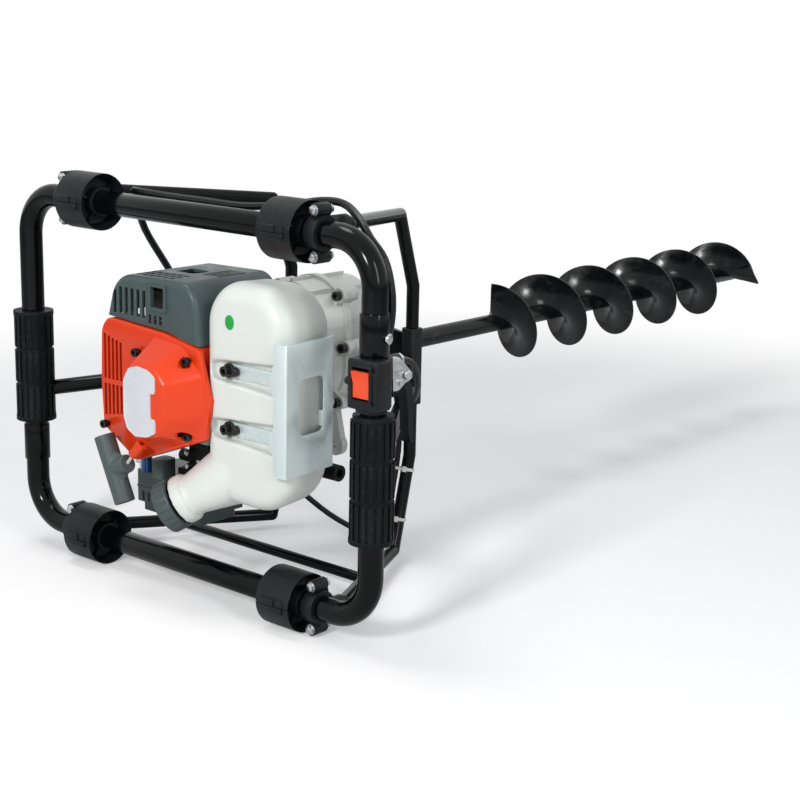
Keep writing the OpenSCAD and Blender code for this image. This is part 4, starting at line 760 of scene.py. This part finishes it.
for i in range(5):
    x = -0.095 + 0.0062 * i
    top = 0.0535 - 0.0016 * i
    tools.append(box_piece("louvre", (x, -0.034, 0.006), (x + 0.0036, -0.026, top)))
    tools.append(box_piece("louvre", (x, -0.034, -0.033 + 0.001 * i), (x + 0.0036, -0.026, 0.001)))
for i in range(5):
    y = -0.024 + 0.005 * i
    tools.append(box_piece("side_slot", (-0.106, y, -0.03), (-0.094, y + 0.0026, 0.04)))
cut(cover, *tools)
soften(cover, 0.0007, 2, angle=24)
ready(cover, "orange_plastic", "frame", "starter_cover", angle=30)

# %% [markdown]
# A buffer is a thick moulded ring of two halves round the tube, open at both ends, with ribs in the
# hollow. It's a turned profile: a short bar whose ends are inset and pushed in. The ribs and the
# clamping ear are added, and the parting groove is cut. The same steps make all four.
# %% Corner buffers
half_w, half_h, buffer_x, ring_half = 0.253, 0.184, 0.15, 0.024


def buffer(name, x0, z0, node_name):
    ring = rod(name, "x", (0, 0), -ring_half, ring_half, 0.03, 56)
    for side in (-1, 1):
        push_face(ring, 0.0062, (-side * 0.0165, 0, 0),
                  lambda m, f: abs(m.x - side * ring_half) < 1e-4 and f.normal.x * side > 0.9)
    round_edges(ring, 0.0036, 5, lambda m, e: abs(abs(m.x) - ring_half) < 1e-4
                and math.hypot(m.y, m.z) > 0.029)
    add(ring, rod("hub", "x", (0, 0), -0.02, 0.02, 0.0152, 40))
    cut(ring, rod("bore", "x", (0, 0), -0.03, 0.03, 0.0126, 40))
    for side in (-1, 1):
        for a in (50, 130, 210, 290):
            rib = box_piece("rib", (0.007, -0.0012, 0.0145), (0.012, 0.0012, 0.025))
            only(rib)
            bpy.ops.transform.rotate(value=math.radians(a), orient_axis="X",
                                     center_override=(0, 0, 0))
            settle(rib)
            if side < 0:
                bpy.ops.transform.resize(value=(-1, 1, 1), center_override=(0, 0, 0))
                settle(rib)
                pick(rib, "FACE", lambda m, f: True)
                bpy.ops.mesh.normals_make_consistent(inside=False)
                bpy.ops.object.mode_set(mode="OBJECT")
            add(ring, rib)
    ear = box_piece("ear", (-0.0144, -0.0325, -0.0071), (0.0144, -0.0245, 0.0071))
    soften(ear, 0.0012, 3)
    add(ring, ear)
    cut(ring, box_piece("step", (0.004, -0.0335, 0.0004), (0.015, -0.0306, 0.008)))
    for side in (-1, 1):
        cut(ring, box_piece("parting", (-0.03, side * 0.034 - 0.0052, -0.0003),
                            (0.03, side * 0.034 + 0.0052, 0.0003)))
    only(ring)
    bpy.ops.transform.translate(value=(x0, 0, z0))
    settle(ring)
    soften(ring, 0.0005, 2, angle=40)
    ready(ring, "black_plastic", "frame", node_name)


for sx, hand in ((-1, "left"), (1, "right")):
    for sz, height in ((1, "upper"), (-1, "lower")):
        place = f"{height}_{hand}_buffer"
        buffer(place + "_ring", sx * buffer_x, sz * half_h, place)

# %% [markdown]
# The zinc bracket is one bent sheet: a narrow strip in front of the tank, a wide plate beside it
# with a slot, and two arms that dip into the grooves. A bent sheet is a line with a thickness, so
# each part starts as such an outline, is extruded upwards, and gets its bend radius by a bevel.
# %% Tank bracket
def bent_sheet(name, line, t, z0, z1):
    """A sheet of thickness t along a line of (x, y) points, from z0 to z1."""
    pts = [Vector(p) for p in line]
    sides = []
    for i, p in enumerate(pts):
        before = (p - pts[i - 1]).normalized() if i else None
        after = (pts[i + 1] - p).normalized() if i < len(pts) - 1 else None
        way = ((before or after) + (after or before)).normalized()
        square = Vector((-way.y, way.x))
        grow = 1 / max(0.3, way.dot(after or before))
        sides.append((p + square * t / 2 * grow, p - square * t / 2 * grow))
    ring = [a for a, b in sides] + [b for a, b in reversed(sides)]
    return drawn(name, [(q.x, q.y, z0) for q in ring], (0, 0, z1 - z0))


bracket = bent_sheet("tank_bracket_sheet", [(0.152, -0.029), (0.168, -0.029), (0.1632, 0.04),
                     (0.1612, 0.043)], 0.002, -0.053, 0.078)
round_edges(bracket, 0.0024, 4, lambda m, e: math.hypot(m.x - 0.168, m.y + 0.029) < 0.004
            and abs(m.z - 0.0125) < 0.01)
for z in groove_z:
    arm = bent_sheet("arm", [(0.07, -0.0151), (0.1385, -0.0151), (0.1505, -0.0285),
                     (0.154, -0.029)], 0.002, z - 0.007, z + 0.007)
    pick(arm, "VERT", lambda m, v: m.x > 0.145)
    bpy.ops.transform.resize(value=(1, 1, 1.9), center_override=(0.15, -0.029, z))
    bpy.ops.object.mode_set(mode="OBJECT")
    round_edges(arm, 0.0065, 6, lambda m, e: m.x < 0.0705 and run(e).y > 0.001)
    add(bracket, arm)
    half = [(0.1462, 0.0068), (0.149, 0.0086), (0.1508, 0.0114), (0.152, 0.015),
            (0.153, 0.0205)]
    add(bracket, plate("gusset", [(x, z + w) for x, w in half]
                       + [(0.156, z + 0.0225), (0.156, z - 0.0225)]
                       + [(x, z - w) for x, w in reversed(half)], -0.0299, -0.0279))
window = box_piece("window", (0.15, -0.0105, -0.014), (0.19, 0.0275, 0.042))
round_edges(window, 0.008, 6, lambda m, e: run(e).x > 0.03)
cut(bracket, window)
add(bracket, bent_sheet("tab", [(0.165, 0.0268), (0.1585, 0.0262)], 0.0016, -0.01, 0.006))
soften(bracket, 0.0006, 2, angle=40)
ready(bracket, "zinc_sheet", "frame", "tank_bracket")

# %% [markdown]
# Each arm is held by a black screw with a hexagon socket over a wide rubber washer. The head is a
# short bar with a hexagonal bar cut into its face.
# %% Tank screws
def socket_head(name, face, way, radius, height, key):
    """A socket head from its outer face along the way; key is the hexagon's width."""
    face, way = Vector(face), Vector(way).normalized()
    head = bar(name, face, face + way * height, radius, 32)
    cut(head, begin("key", bpy.ops.mesh.primitive_cylinder_add, vertices=6, radius=key / 1.732,
                    depth=height, location=face + way * (height * 0.1), rotation=along(way)))
    soften(head, radius * 0.12, 3, angle=40)
    return head


screws = []
for z in groove_z:
    head = socket_head("tank_screw", (screw_x, -0.0262, z), (0, 1, 0), 0.0053, 0.0082, 0.0052)
    washer = rod("washer", "y", (screw_x, z), -0.0192, -0.0162, 0.0075, 32)
    soften(washer, 0.0009, 3)
    nub = rod("clip", "y", (0.0885, z), -0.0225, -0.0162, 0.005, 24)
    soften(nub, 0.0014, 3)
    stem = rod("stem", "y", (screw_x, z), -0.017, 0.0, 0.003, 24)
    screws += [head, washer, nub, stem]
ready(join(*screws), "black_screw", "frame", "tank_screws")

# %% [markdown]
# A small round inspection sticker sits on the tank, plain green. It is put where the ray of its
# pixel meets the finished tank, and is turned flat against the surface.
# %% Green mark
spot, normal = at_pixel(tank, *image_points["green_mark"])
mark = bar("green_mark", spot - normal * 0.001, spot + normal * 0.0003, 0.0074, 40)
only(mark)
bpy.ops.transform.resize(value=(0.84, 1, 1), center_override=spot)
settle(mark)
soften(mark, 0.0002, 2)
finishes["green_film"] = finish("green_film", (0.004, 0.28, 0.035), (0.006, 0.36, 0.05),
                                rough=0.3, grain=900, bumps=0.05)
ready(mark, "red_plastic", "frame", look="green_film")
print("green mark at", [round(v, 4) for v in spot])

# %% [markdown]
# The stop switch is a moulded box clamped round the tube, with a raised rim round a red rocker.
# The box, the ring and the rim are joined first, and then the pocket and the tube's room are cut,
# so the shadow gap round the rocker is real.
# %% Stop switch's box
tube_x, tube_room_r, clamp_r = half_w, 0.01255, 0.0168
rock_x, rock_z, switch_right = 0.2558, 0.0545, 0.274
housing = box_piece("switch_box", (0.2375, -0.0205, 0.0292), (switch_right, -0.0002, 0.0768))
round_edges(housing, 0.0028, 4, lambda m, e: m.y < -0.02 or (m.y < 0 and run(e).y > 0.01))
add(housing, rod("clamp_ring", "z", (tube_x, 0), 0.0256, 0.0764, clamp_r, 48))
add(housing, rod("wire_gland", "x", (-0.011, 0.053), 0.23, 0.239, 0.0042, 24))
rim = box_piece("rim", (rock_x - 0.013, -0.0222, rock_z - 0.0172),
                (rock_x + 0.013, -0.019, rock_z + 0.0172))
soften(rim, 0.001, 3)
add(housing, rim)
cut(housing, box_piece("rear", (0.22, 0.0, 0.0), (0.29, 0.03, 0.1)))
cut(housing, box_piece("pocket", (rock_x - 0.0104, -0.024, rock_z - 0.0153),
                       (rock_x + 0.0104, -0.0128, rock_z + 0.0153)))
cut(housing, rod("tube_room", "z", (tube_x, 0), 0.01, 0.09, tube_room_r, 48))
for z in (0.0375, 0.0688):
    cut(housing, rod("screw_seat", "y", (0.2705, z), -0.023, -0.0185, 0.0024, 20))
cut(housing, box_piece("seam", (switch_right - 0.0045, -0.0212, 0.02),
                       (switch_right - 0.0041, -0.0198, 0.08)))
soften(housing, 0.0006, 2, angle=40)
ready(housing, "black_plastic", "frame", "switch_housing")

# %% [markdown]
# The rocker's two pads meet in a shallow V and carry fine grip ridges. Their profile is one flat
# outline, tipped a little, since one pad always stands out more, and extruded across.
# %% Stop rocker
turn = math.radians(6)
pads = [(-0.0012, -0.0122), (-0.0004, -0.005), (-0.0004, 0.005), (-0.0012, 0.0118),
        (-0.0084, 0.0129), (-0.008, 0.0114), (-0.0064, 0.0), (-0.0074, -0.0114),
        (-0.0078, -0.0129)]
rocker = across("rocker_pads", [(-0.0152 + y * math.cos(turn) - z * math.sin(turn),
                                rock_z + y * math.sin(turn) + z * math.cos(turn)) for y, z in pads],
                rock_x - 0.01, rock_x + 0.01)
soften(rocker, 0.0008, 3, angle=40)
for k in range(5):
    for side in (-1, 1):
        z = rock_z + side * (0.0032 + 0.0019 * k)
        y = -0.0216 - side * 0.00105 * (z - rock_z) / 0.01 - abs(z - rock_z) * 0.085
        cut(rocker, box_piece("ridge", (rock_x - 0.0085, y - 0.004, z - 0.00035),
                              (rock_x + 0.0085, y - 0.0002, z + 0.00035)))
ready(rocker, "red_plastic", "stop_rocker", "stop_rocker")

# %% [markdown]
# Behind the switch sits the throttle perch: a moulded clamp half with a boss for the adjuster of
# the cable. It starts as a short bar. A box takes its front half, and the tube's room is cut.
# %% Throttle perch
pivot, cable_at = (0.031, 0.057), (0.256, 0.07)
clamp = rod("perch_clamp", "z", (tube_x, 0), 0.03, 0.0764, clamp_r, 48)
cut(clamp, box_piece("front", (0.22, -0.03, 0.0), (0.29, 0.0002, 0.1)))
add(clamp, rod("adjuster", "y", cable_at, 0.012, 0.029, 0.0064, 32))
cut(clamp, rod("tube_room", "z", (tube_x, 0), 0.01, 0.09, tube_room_r, 48))
cut(clamp, rod("sleeve_room", "y", cable_at, 0.0175, 0.05, 0.0044, 24))
soften(clamp, 0.0006, 2, angle=40)
ready(clamp, "black_plastic", "frame", "throttle_perch")

# %% [markdown]
# The perch carries a bright fork, in which the lever turns. The fork's cheeks are flat outlines
# with a small bevel, so their edges shine. The adjuster's nut and a knob ride with them.
# %% Fork and adjuster
cheek_line = [(0.01, 0.0755), (0.019, 0.076), (0.029, 0.0672), (0.0362, 0.0605),
              (0.0378, 0.056), (0.0352, 0.0512), (0.029, 0.05), (0.02, 0.044),
              (0.012, 0.044)]
cheeks = []
for x0, x1 in ((0.2452, 0.2497), (0.2623, 0.2668)):
    cheek = across("cheek", cheek_line, x0, x1)
    round_edges(cheek, 0.0016, 3, lambda m, e: run(e).x > 0.003)
    cut(cheek, rod("hole", "x", pivot, x0 - 0.01, x1 + 0.01, 0.00252, 24))
    if x0 > 0.255:
        cut(cheek, box_piece("slit", (x1 - 0.0012, 0.013, 0.0625), (x1 + 0.002, 0.026, 0.0638)))
    cut(cheek, rod("tube_room", "z", (tube_x, 0), 0.01, 0.09, 0.0172, 48))
    soften(cheek, 0.0005, 2, angle=40)
    cheeks.append(cheek)
bridge = box_piece("bridge", (0.249, 0.016, 0.0455), (0.263, 0.02, 0.052))
soften(bridge, 0.0006, 2)
nut = rod("adjuster_nut", "y", cable_at, 0.0292, 0.0335, 0.0062, 6)
cut(nut, rod("sleeve_room", "y", cable_at, 0.02, 0.05, 0.0038, 24))
soften(nut, 0.0005, 2)
knob = rod("knob", "x", (0.0215, 0.0515), 0.2662, 0.2692, 0.0036, 24)
soften(knob, 0.0006, 2)
ready(join(*cheeks, bridge, nut, knob), "cast_alloy", "frame", look="zinc")

# %% [markdown]
# A slotted pin goes through both cheeks and is the lever's axle. The long black lever is one
# outline round that axle, given a wide bevel as a finger needs, with a round eye added.
# %% Lever and its pin
pin = rod("pivot_pin", "x", pivot, 0.244, 0.268, 0.0025, 24)
pin_head = rod("pin_head", "x", pivot, 0.2672, 0.27, 0.0044, 24)
cut(pin_head, box_piece("slot", (0.2692, 0.026, 0.0565), (0.271, 0.036, 0.0575)))
soften(pin_head, 0.0005, 2)
ready(join(pin, pin_head), "zinc", "frame", "lever_pin")

lever_line = [(-0.0035, 0.005), (0.002, 0.0062), (0.008, 0.002), (0.014, -0.014),
              (0.0185, -0.034), (0.0175, -0.056), (0.0178, -0.069), (0.0135, -0.069),
              (0.0098, -0.056), (0.009, -0.036), (0.006, -0.018), (-0.001, -0.007)]
lever = across("lever_paddle", [(pivot[0] + y, pivot[1] + z) for y, z in lever_line],
               0.2507, 0.2613)
add(lever, rod("lever_eye", "x", pivot, 0.2507, 0.2613, 0.006, 40))
cut(lever, rod("hole", "x", pivot, 0.24, 0.27, 0.0026, 24))
soften(lever, 0.0016, 3, angle=32)
ready(lever, "black_plastic", "throttle_lever", "throttle_lever")

# %% [markdown]
# The handle tubes end in short sleeves, each held by one bright screw. The screw's place on the
# right sleeve comes from its pixel: the ray meets the sleeve, and the head stands square to it.
# %% Sleeves and their screws
sleeve_parts, screw_parts = [], []
collars_low, collars_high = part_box("tube_collars")
sleeve_long = 0.04
for hand, name in ((-1, "left"), (1, "right")):
    z1 = collars_high[2] if hand > 0 else collars_low[2] + sleeve_long
    sleeve = rod(name + "_sleeve", "z", (hand * tube_x, 0), z1 - sleeve_long, z1, 0.0141, 48)
    cut(sleeve, rod("room", "z", (hand * tube_x, 0), z1 - 0.05, z1 + 0.01, 0.01252, 48))
    soften(sleeve, 0.0005, 2, angle=40)
    sleeve_parts.append(sleeve)
    place_s = Vector((hand * tube_x, 0, z1 - 0.0215))
    if hand > 0:
        hit, _ = at_pixel(sleeve, *image_points["sleeve_screw"])
        place_s.z = hit.z
        way = Vector((hit.x - tube_x, hit.y, 0)).normalized()
    else:
        way = Vector((-0.35, 0.94, 0)).normalized()
    base = place_s + way * 0.0135
    head = bar("sleeve_screw", base, base + way * 0.004, 0.0052, 32)
    soften(head, 0.0016, 4, angle=40)
    slant = (way.cross(Vector((0, 0, 1))) * 0.7 + Vector((0, 0, 0.7))).normalized()
    top = base + way * 0.004
    cut(head, bar("slot", top - slant * 0.006, top + slant * 0.006, 0.0007, 12))
    screw_parts.append(head)
ready(join(*sleeve_parts), "black_paint", "frame", "tube_collars")
ready(join(*screw_parts), "zinc", "frame")

# %% [markdown]
# The pull handle is a hollow T: a tube across, and a stem that swells into it. The three bars are
# joined, and a voxel Remesh with a short smoothing melts the joint, as the mould's fillets do.
# %% Pull handle
grip_mid, pull_way = Vector((-0.061, -0.048, -0.083)), Vector((-0.902, 0, -0.431)).normalized()
grip_up = Vector((0.431, 0, -0.902)).normalized()
grip_half = grip_up * 0.0368
handle = bar("pull_grip", grip_mid - grip_half, grip_mid + grip_half, 0.0109, 40)
add(handle, bar("stem", grip_mid, grip_mid - pull_way * 0.0235, 0.0098, 40))
swell = begin("swell", bpy.ops.mesh.primitive_cone_add, vertices=40, radius1=0.0215,
              radius2=0.0095, depth=0.018, location=grip_mid - pull_way * 0.0098,
              rotation=along(-pull_way))
only(swell)
bpy.ops.transform.resize(value=(1, 0.5, 1), center_override=grip_mid)
add(handle, swell)
modify(handle, "REMESH", mode="VOXEL", voxel_size=0.0009)
modify(handle, "SMOOTH", factor=0.5, iterations=8)
for end in (-1, 1):
    cut(handle, bar("hollow", grip_mid + grip_up * end * 0.027, grip_mid + grip_up * end * 0.045,
                    0.0072, 36))
ready(handle, "grey_plastic", "pull_handle", "pull_handle")

# %% [markdown]
# The rope shows only between the cover and the handle, and it has to stretch when the handle is
# pulled. It's a thin bar, cut into short rings along its length.
# %% Starter rope
rope_end, rope_root = grip_mid - pull_way * 0.022, Vector((-0.03, -0.048, -0.061))
finishes["rope"] = finish("starter_rope", (0.55, 0.55, 0.52), (0.72, 0.72, 0.68), patch=500,
                          rough=0.75, grain=2400, bumps=0.6, stretch=(1, 1, 2.4))
rope = bar("starter_rope", rope_root, rope_end, 0.0017, 16)
rope_way = rope_end - rope_root
pick(rope, "EDGE", lambda m, e: abs(run(e).length - rope_way.length) < 1e-4)
bpy.ops.mesh.subdivide(number_cuts=24)
bpy.ops.object.mode_set(mode="OBJECT")
dress(rope, "rope", 50)
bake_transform(rope)
print("rope", round(rope_way.length, 4), "m at rest")

# %% [markdown]
# The fuel cap is a thick moulded ring with shallow finger grooves and a flat face. The grooves are
# cut round its rim with thin bars, and the small bevel afterwards gives each of them a soft lip.
# %% Fuel cap
cap_way = Vector((-0.731, -0.457, -0.508)).normalized()
cap_at, groove_at, grooves = neck_end, 0.0297, 18
cap = bar("fuel_cap_body", cap_at + cap_way * 0.0015, cap_at + cap_way * 0.0185, 0.027, 72)
round_edges(cap, 0.003, 4, lambda m, e: (m - cap_at).dot(cap_way) > 0.018)
side_a = cap_way.cross(Vector((0, 0, 1))).normalized()
side_b = cap_way.cross(side_a)
for k in range(grooves):
    a = math.radians(360 / grooves * k)
    groove_mid = cap_at + (side_a * math.cos(a) + side_b * math.sin(a)) * groove_at
    cut(cap, bar("groove", groove_mid + cap_way * 0.0042, groove_mid + cap_way * 0.03, 0.0036, 20))
cut(cap, bar("face_ring", cap_at + cap_way * 0.0178, cap_at + cap_way * 0.024, 0.0185, 48))
add(cap, bar("face", cap_at + cap_way * 0.016, cap_at + cap_way * 0.02, 0.016, 48))
cut(cap, bar("neck_room", cap_at - cap_way * 0.01, cap_at + cap_way * 0.014, 0.0223, 48))
soften(cap, 0.0006, 2, angle=35)
ready(cap, "grey_plastic", "fuel_cap", "fuel_cap")

# %% [markdown]
# Under the engine hangs the air filter: a box with a lid, a joint line and a slotted side. The
# joint line is a thin box that stands out a little all round.
# %% Air filter box
case = box_piece("filter_box", (-0.086, 0.002, -0.132), (0.016, 0.064, -0.098))
add(case, box_piece("lid", (-0.08, 0.006, -0.142), (0.01, 0.058, -0.131)))
add(case, box_piece("tower", (-0.054, -0.006, -0.099), (-0.036, 0.016, -0.079)))
round_edges(case, 0.0045, 4, lambda m, e: run(e).normalized().z > 0.9)
for i in range(6):
    cut(case, box_piece("breather", (-0.076 + 0.0085 * i, -0.002, -0.13),
                        (-0.0725 + 0.0085 * i, 0.004, -0.1205)))
cut(case, rod("throat", "z", (-0.006, 0.031), -0.108, -0.09, 0.01, 40))
cut(case, rod("lever_hole", "z", (-0.03, 0.04), -0.15, -0.122, 0.0032, 24))
soften(case, 0.0012, 3, angle=50)
bead = box_piece("joint_bead", (-0.0866, 0.0014, -0.1166), (0.0166, 0.0646, -0.115))
round_edges(bead, 0.0045, 4, lambda m, e: run(e).z > 0.001)
ready(join(case, bead), "cowl_plastic", "frame", "air_filter_box")

# %% [markdown]
# A soft blue primer bulb stands on the filter box. It's a ball with a short skirt down to the box,
# in a glossy finish of its own.
# %% Primer bulb
finishes["bulb_blue"] = finish("primer_bulb", (0.004, 0.035, 0.13), (0.008, 0.07, 0.24),
                               rough=0.16, grain=500, bumps=0.04, specular=0.6)
bulb = begin("primer_bulb", bpy.ops.mesh.primitive_uv_sphere_add, segments=32, ring_count=16,
             radius=0.006, location=(-0.07, 0.0035, -0.083))
skirt = rod("skirt", "z", (-0.07, 0.0035), -0.0978, -0.083, 0.006, 32)
add(bulb, skirt)
soften(bulb, 0.0004, 2)
ready(bulb, "cowl_plastic", "frame", look="bulb_blue")

# %% [markdown]
# The carburettor is a block of three steps, with the throttle's spindle, the fuel port and the arm
# that holds the cable's end. Its bright screws are a piece of their own, in another finish.
# %% Carburettor
spindle_at = (0.031, -0.076)
block = box_piece("carb_body", (-0.02, 0.018, -0.088), (0.01, 0.044, -0.061))
add(block, box_piece("carb_top", (-0.026, 0.014, -0.062), (0.014, 0.048, -0.0561)))
add(block, box_piece("carb_foot", (-0.032, 0.013, -0.09795), (0.018, 0.049, -0.0876)))
soften(block, 0.0012, 3)
add(block, rod("spindle", "x", spindle_at, 0.006, 0.018, 0.008, 32))
add(block, rod("fuel_port", "x", (0.029, -0.078), -0.041, -0.019, 0.0065, 32))
add(block, box_piece("cable_arm", (0.008, 0.04, -0.062), (0.016, 0.054, -0.0561)))
add(block, box_piece("cable_stop", (0.008, 0.05, -0.062), (0.026, 0.054, -0.05)))
cut(block, rod("throat", "z", (-0.006, 0.031), -0.1, -0.05, 0.0075, 40))
cut(block, rod("spindle_hole", "x", spindle_at, -0.005, 0.05, 0.00265, 24))
cut(block, rod("cable_hole", "y", (0.0205, -0.056), 0.045, 0.06, 0.0035, 24))
soften(block, 0.0005, 2, angle=40)
ready(block, "black_plastic", "frame", "carburettor")
chrome = []
for x, z, r in ((-0.014, -0.068, 0.003), (-0.014, -0.082, 0.003), (0.004, -0.074, 0.0024)):
    chrome.append(rod("carb_screw", "y", (x, z), 0.0085, 0.0185, r, 24))
chrome.append(rod("adjuster", "z", (-0.08, 0.0065), -0.0978, -0.084, 0.0033, 24))
chrome.append(bar("adjuster_tip", (-0.0905, 0.0075, -0.0905), (-0.08, 0.0068, -0.09), 0.0022, 20))
for piece in chrome:
    soften(piece, 0.0006, 2)
ready(join(*chrome), "black_plastic", "frame", look="zinc")

# %% [markdown]
# Each clamp of the rear frame is pulled shut by two bolts. A bolt is a hexagon head over a washer,
# a bare shank and a nut with a little thread standing out. The same bars make all eight.
# %% Clamp bolts
def hex_bolt(name, at, way, length, size):
    """A bolt whose head faces back along its way; at is the middle of the head's inner face."""
    at, way = Vector(at), Vector(way).normalized()
    head = bar(name, at - way * size * 0.7, at, size, 6)
    soften(head, size * 0.1, 2)
    washer = bar("washer", at - way * 0.0001, at + way * 0.001, size * 1.16, 28)
    shank = bar("shank", at, at + way * length, size * 0.52, 20)
    nut = bar("nut", at + way * (length - size * 1.15), at + way * (length - size * 0.3), size, 6)
    soften(nut, size * 0.1, 2)
    return [head, washer, shank, nut]


clamp_x, bolt_off = buffer_x + 0.034, 0.022
bolt_front, bolt_length, bolt_size = -0.0092, 0.025, 0.0045
bolts = []
for x in (-clamp_x, clamp_x):
    for z in (half_h + bolt_off, half_h - bolt_off, bolt_off - half_h, -bolt_off - half_h):
        bolts += hex_bolt("clamp_bolt", (x, bolt_front, z), (0, 1, 0), bolt_length, bolt_size)
ready(join(*bolts), "zinc", "frame", "clamp_bolts")

# %% [markdown]
# The panel on the drum's face is a thin pale badge with a cut-out and nothing printed on it. Its
# front is inset and pressed in a little, which leaves the narrow raised rim of such badges.
# %% Cover panel
badge = plate("cover_badge", [(-0.027, 0.02), (-0.019, 0.033), (-0.006, 0.037), (0.01, 0.035),
              (0.02, 0.029), (0.02, 0.012), (0.013, 0.012), (0.013, -0.014), (0.02, -0.014),
              (0.02, -0.028), (0.008, -0.034), (-0.01, -0.036), (-0.022, -0.03), (-0.027, -0.018)],
              -0.06325, -0.06205)
round_edges(badge, 0.0026, 4, lambda m, e: along_y(m, e))
pick(badge, "FACE", lambda m, f: f.normal.y < -0.9)
bpy.ops.mesh.inset(thickness=0.0011)
bpy.ops.mesh.inset(thickness=0.0004)
bpy.ops.transform.translate(value=(0, 0.00045, 0))
bpy.ops.object.mode_set(mode="OBJECT")
ready(badge, "panel_plastic", "frame", "cover_panel")

# %% [markdown]
# The cutting blade is a flat piece of hardened plate, welded across the last edge of the flight.
# Its outline is drawn in the plane of the plate, extruded to 3 mm, and its cutting edge is ground.
# %% Cutting blade
blade_y, blade_z, slope_y, slope_z, blade_t = 1.064, 0.024, 0.66, 0.75, 0.003


def on_blade(x, s, lift=0.0):
    """A point of the blade's plane: x out from the tube, s down the slope, lift off the plane."""
    return Vector((x, blade_y + slope_y * s + slope_z * lift,
                   blade_z - slope_z * s + slope_y * lift))


blade_line = [(0.012, 0.015), (0.03, 0.0075), (0.046, 0.0015), (0.05, 0.003),
              (0.0518, 0.0375), (0.032, 0.0345), (0.012, 0.032)]
blade = drawn("cutting_blade", [on_blade(x, s, -blade_t / 2) for x, s in blade_line],
              (0, slope_z * blade_t, slope_y * blade_t))
round_edges(blade, 0.0013, 1, lambda m, e: (m - on_blade(m.x, 0.0352)).length < 0.0035
            and run(e).x > 0.01)
soften(blade, 0.0003, 2, angle=30)
ready(blade, "black_paint", "auger", "bit_blade", look="flight_paint")

# %% [markdown]
# A point of the model is projected with the camera's own numbers. The middle of a fitting is the
# middle of the box that its vertices fill in the picture.
# %% Measure in the picture
def to_pixel(p):
    """The pixel at which a point of the shared frame shows."""
    q = camera.matrix_world.inverted() @ p
    k = L * lens_mm / sensor_mm
    return (W / 2 - shift_x * L - q.x * k / q.z, H / 2 + shift_y * L + q.y * k / q.z)


def shown_points(obj):
    """All vertices of the object as it's shown, in the shared frame."""
    return [obj.matrix_world @ v.co for v in shown_mesh(obj).vertices]


def middle(obj, test=lambda p: True):
    """The middle, in pixels, of the object's vertices that pass the test."""
    xs, ys = zip(*[to_pixel(p) for p in shown_points(obj) if test(p)])
    return ((min(xs) + max(xs)) / 2, (min(ys) + max(ys)) / 2)


def near_axis(x, z, radius, y0, y1):
    """The test for points inside a round bar along y."""
    return lambda p: math.hypot(p.x - x, p.z - z) < radius and y0 <= p.y <= y1


# %% [markdown]
# For the model's edges in the picture and for each image point, how far it is from its place
# is printed.
# %% Measure and finish
across_px, down_px = zip(*[to_pixel(p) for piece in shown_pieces() for p in shown_points(piece)])
marks = {"left_edge_x": min(across_px), "right_edge_x": max(across_px),
         "top_edge_y": min(down_px), "bottom_edge_y": max(down_px)}
places = {
    "green_mark": middle(mark),
    "stop_rocker": middle(rocker),
    "sleeve_screw": middle(screw_parts[0], lambda p: p.x > 0.2),
    "upper_tank_screw": middle(screws[0], near_axis(screw_x, groove_z[0], 0.006, -0.03, -0.025)),
    "lower_tank_screw": middle(screws[0], near_axis(screw_x, groove_z[1], 0.006, -0.03, -0.025)),
    "upper_cover_screw": middle(nodes["cover_screws"],
                                near_axis(*cover_screws_at[1], 0.006, -0.08, -0.033)),
    "lower_cover_screw": middle(nodes["cover_screws"],
                                near_axis(*cover_screws_at[2], 0.006, -0.08, -0.033)),
    "case_ear": middle(nodes["gearbox_rear"], near_axis(0.031, -0.084, 0.004, 0.18, 0.19)),
    "cowl_window": middle(cowl, lambda p: p.y < -0.0287 and p.z > 0.085),
    "flight_start": middle(auger, lambda p: p.y < flight_from + 0.003
                           and math.hypot(p.x, p.z - drive_z) > 0.049),
    "blade_corner": max((to_pixel(p) for p in shown_points(blade)), key=lambda q: q[0]),
}
off_by = {}
for name, value in marks.items():
    off_by[name] = round(value - image_points[name], 2)
for name, (x, y) in places.items():
    off_by[name] = [round(x - image_points[name][0], 2), round(y - image_points[name][1], 2)]
for name, value in off_by.items():
    print(f"{name:18} {value}")
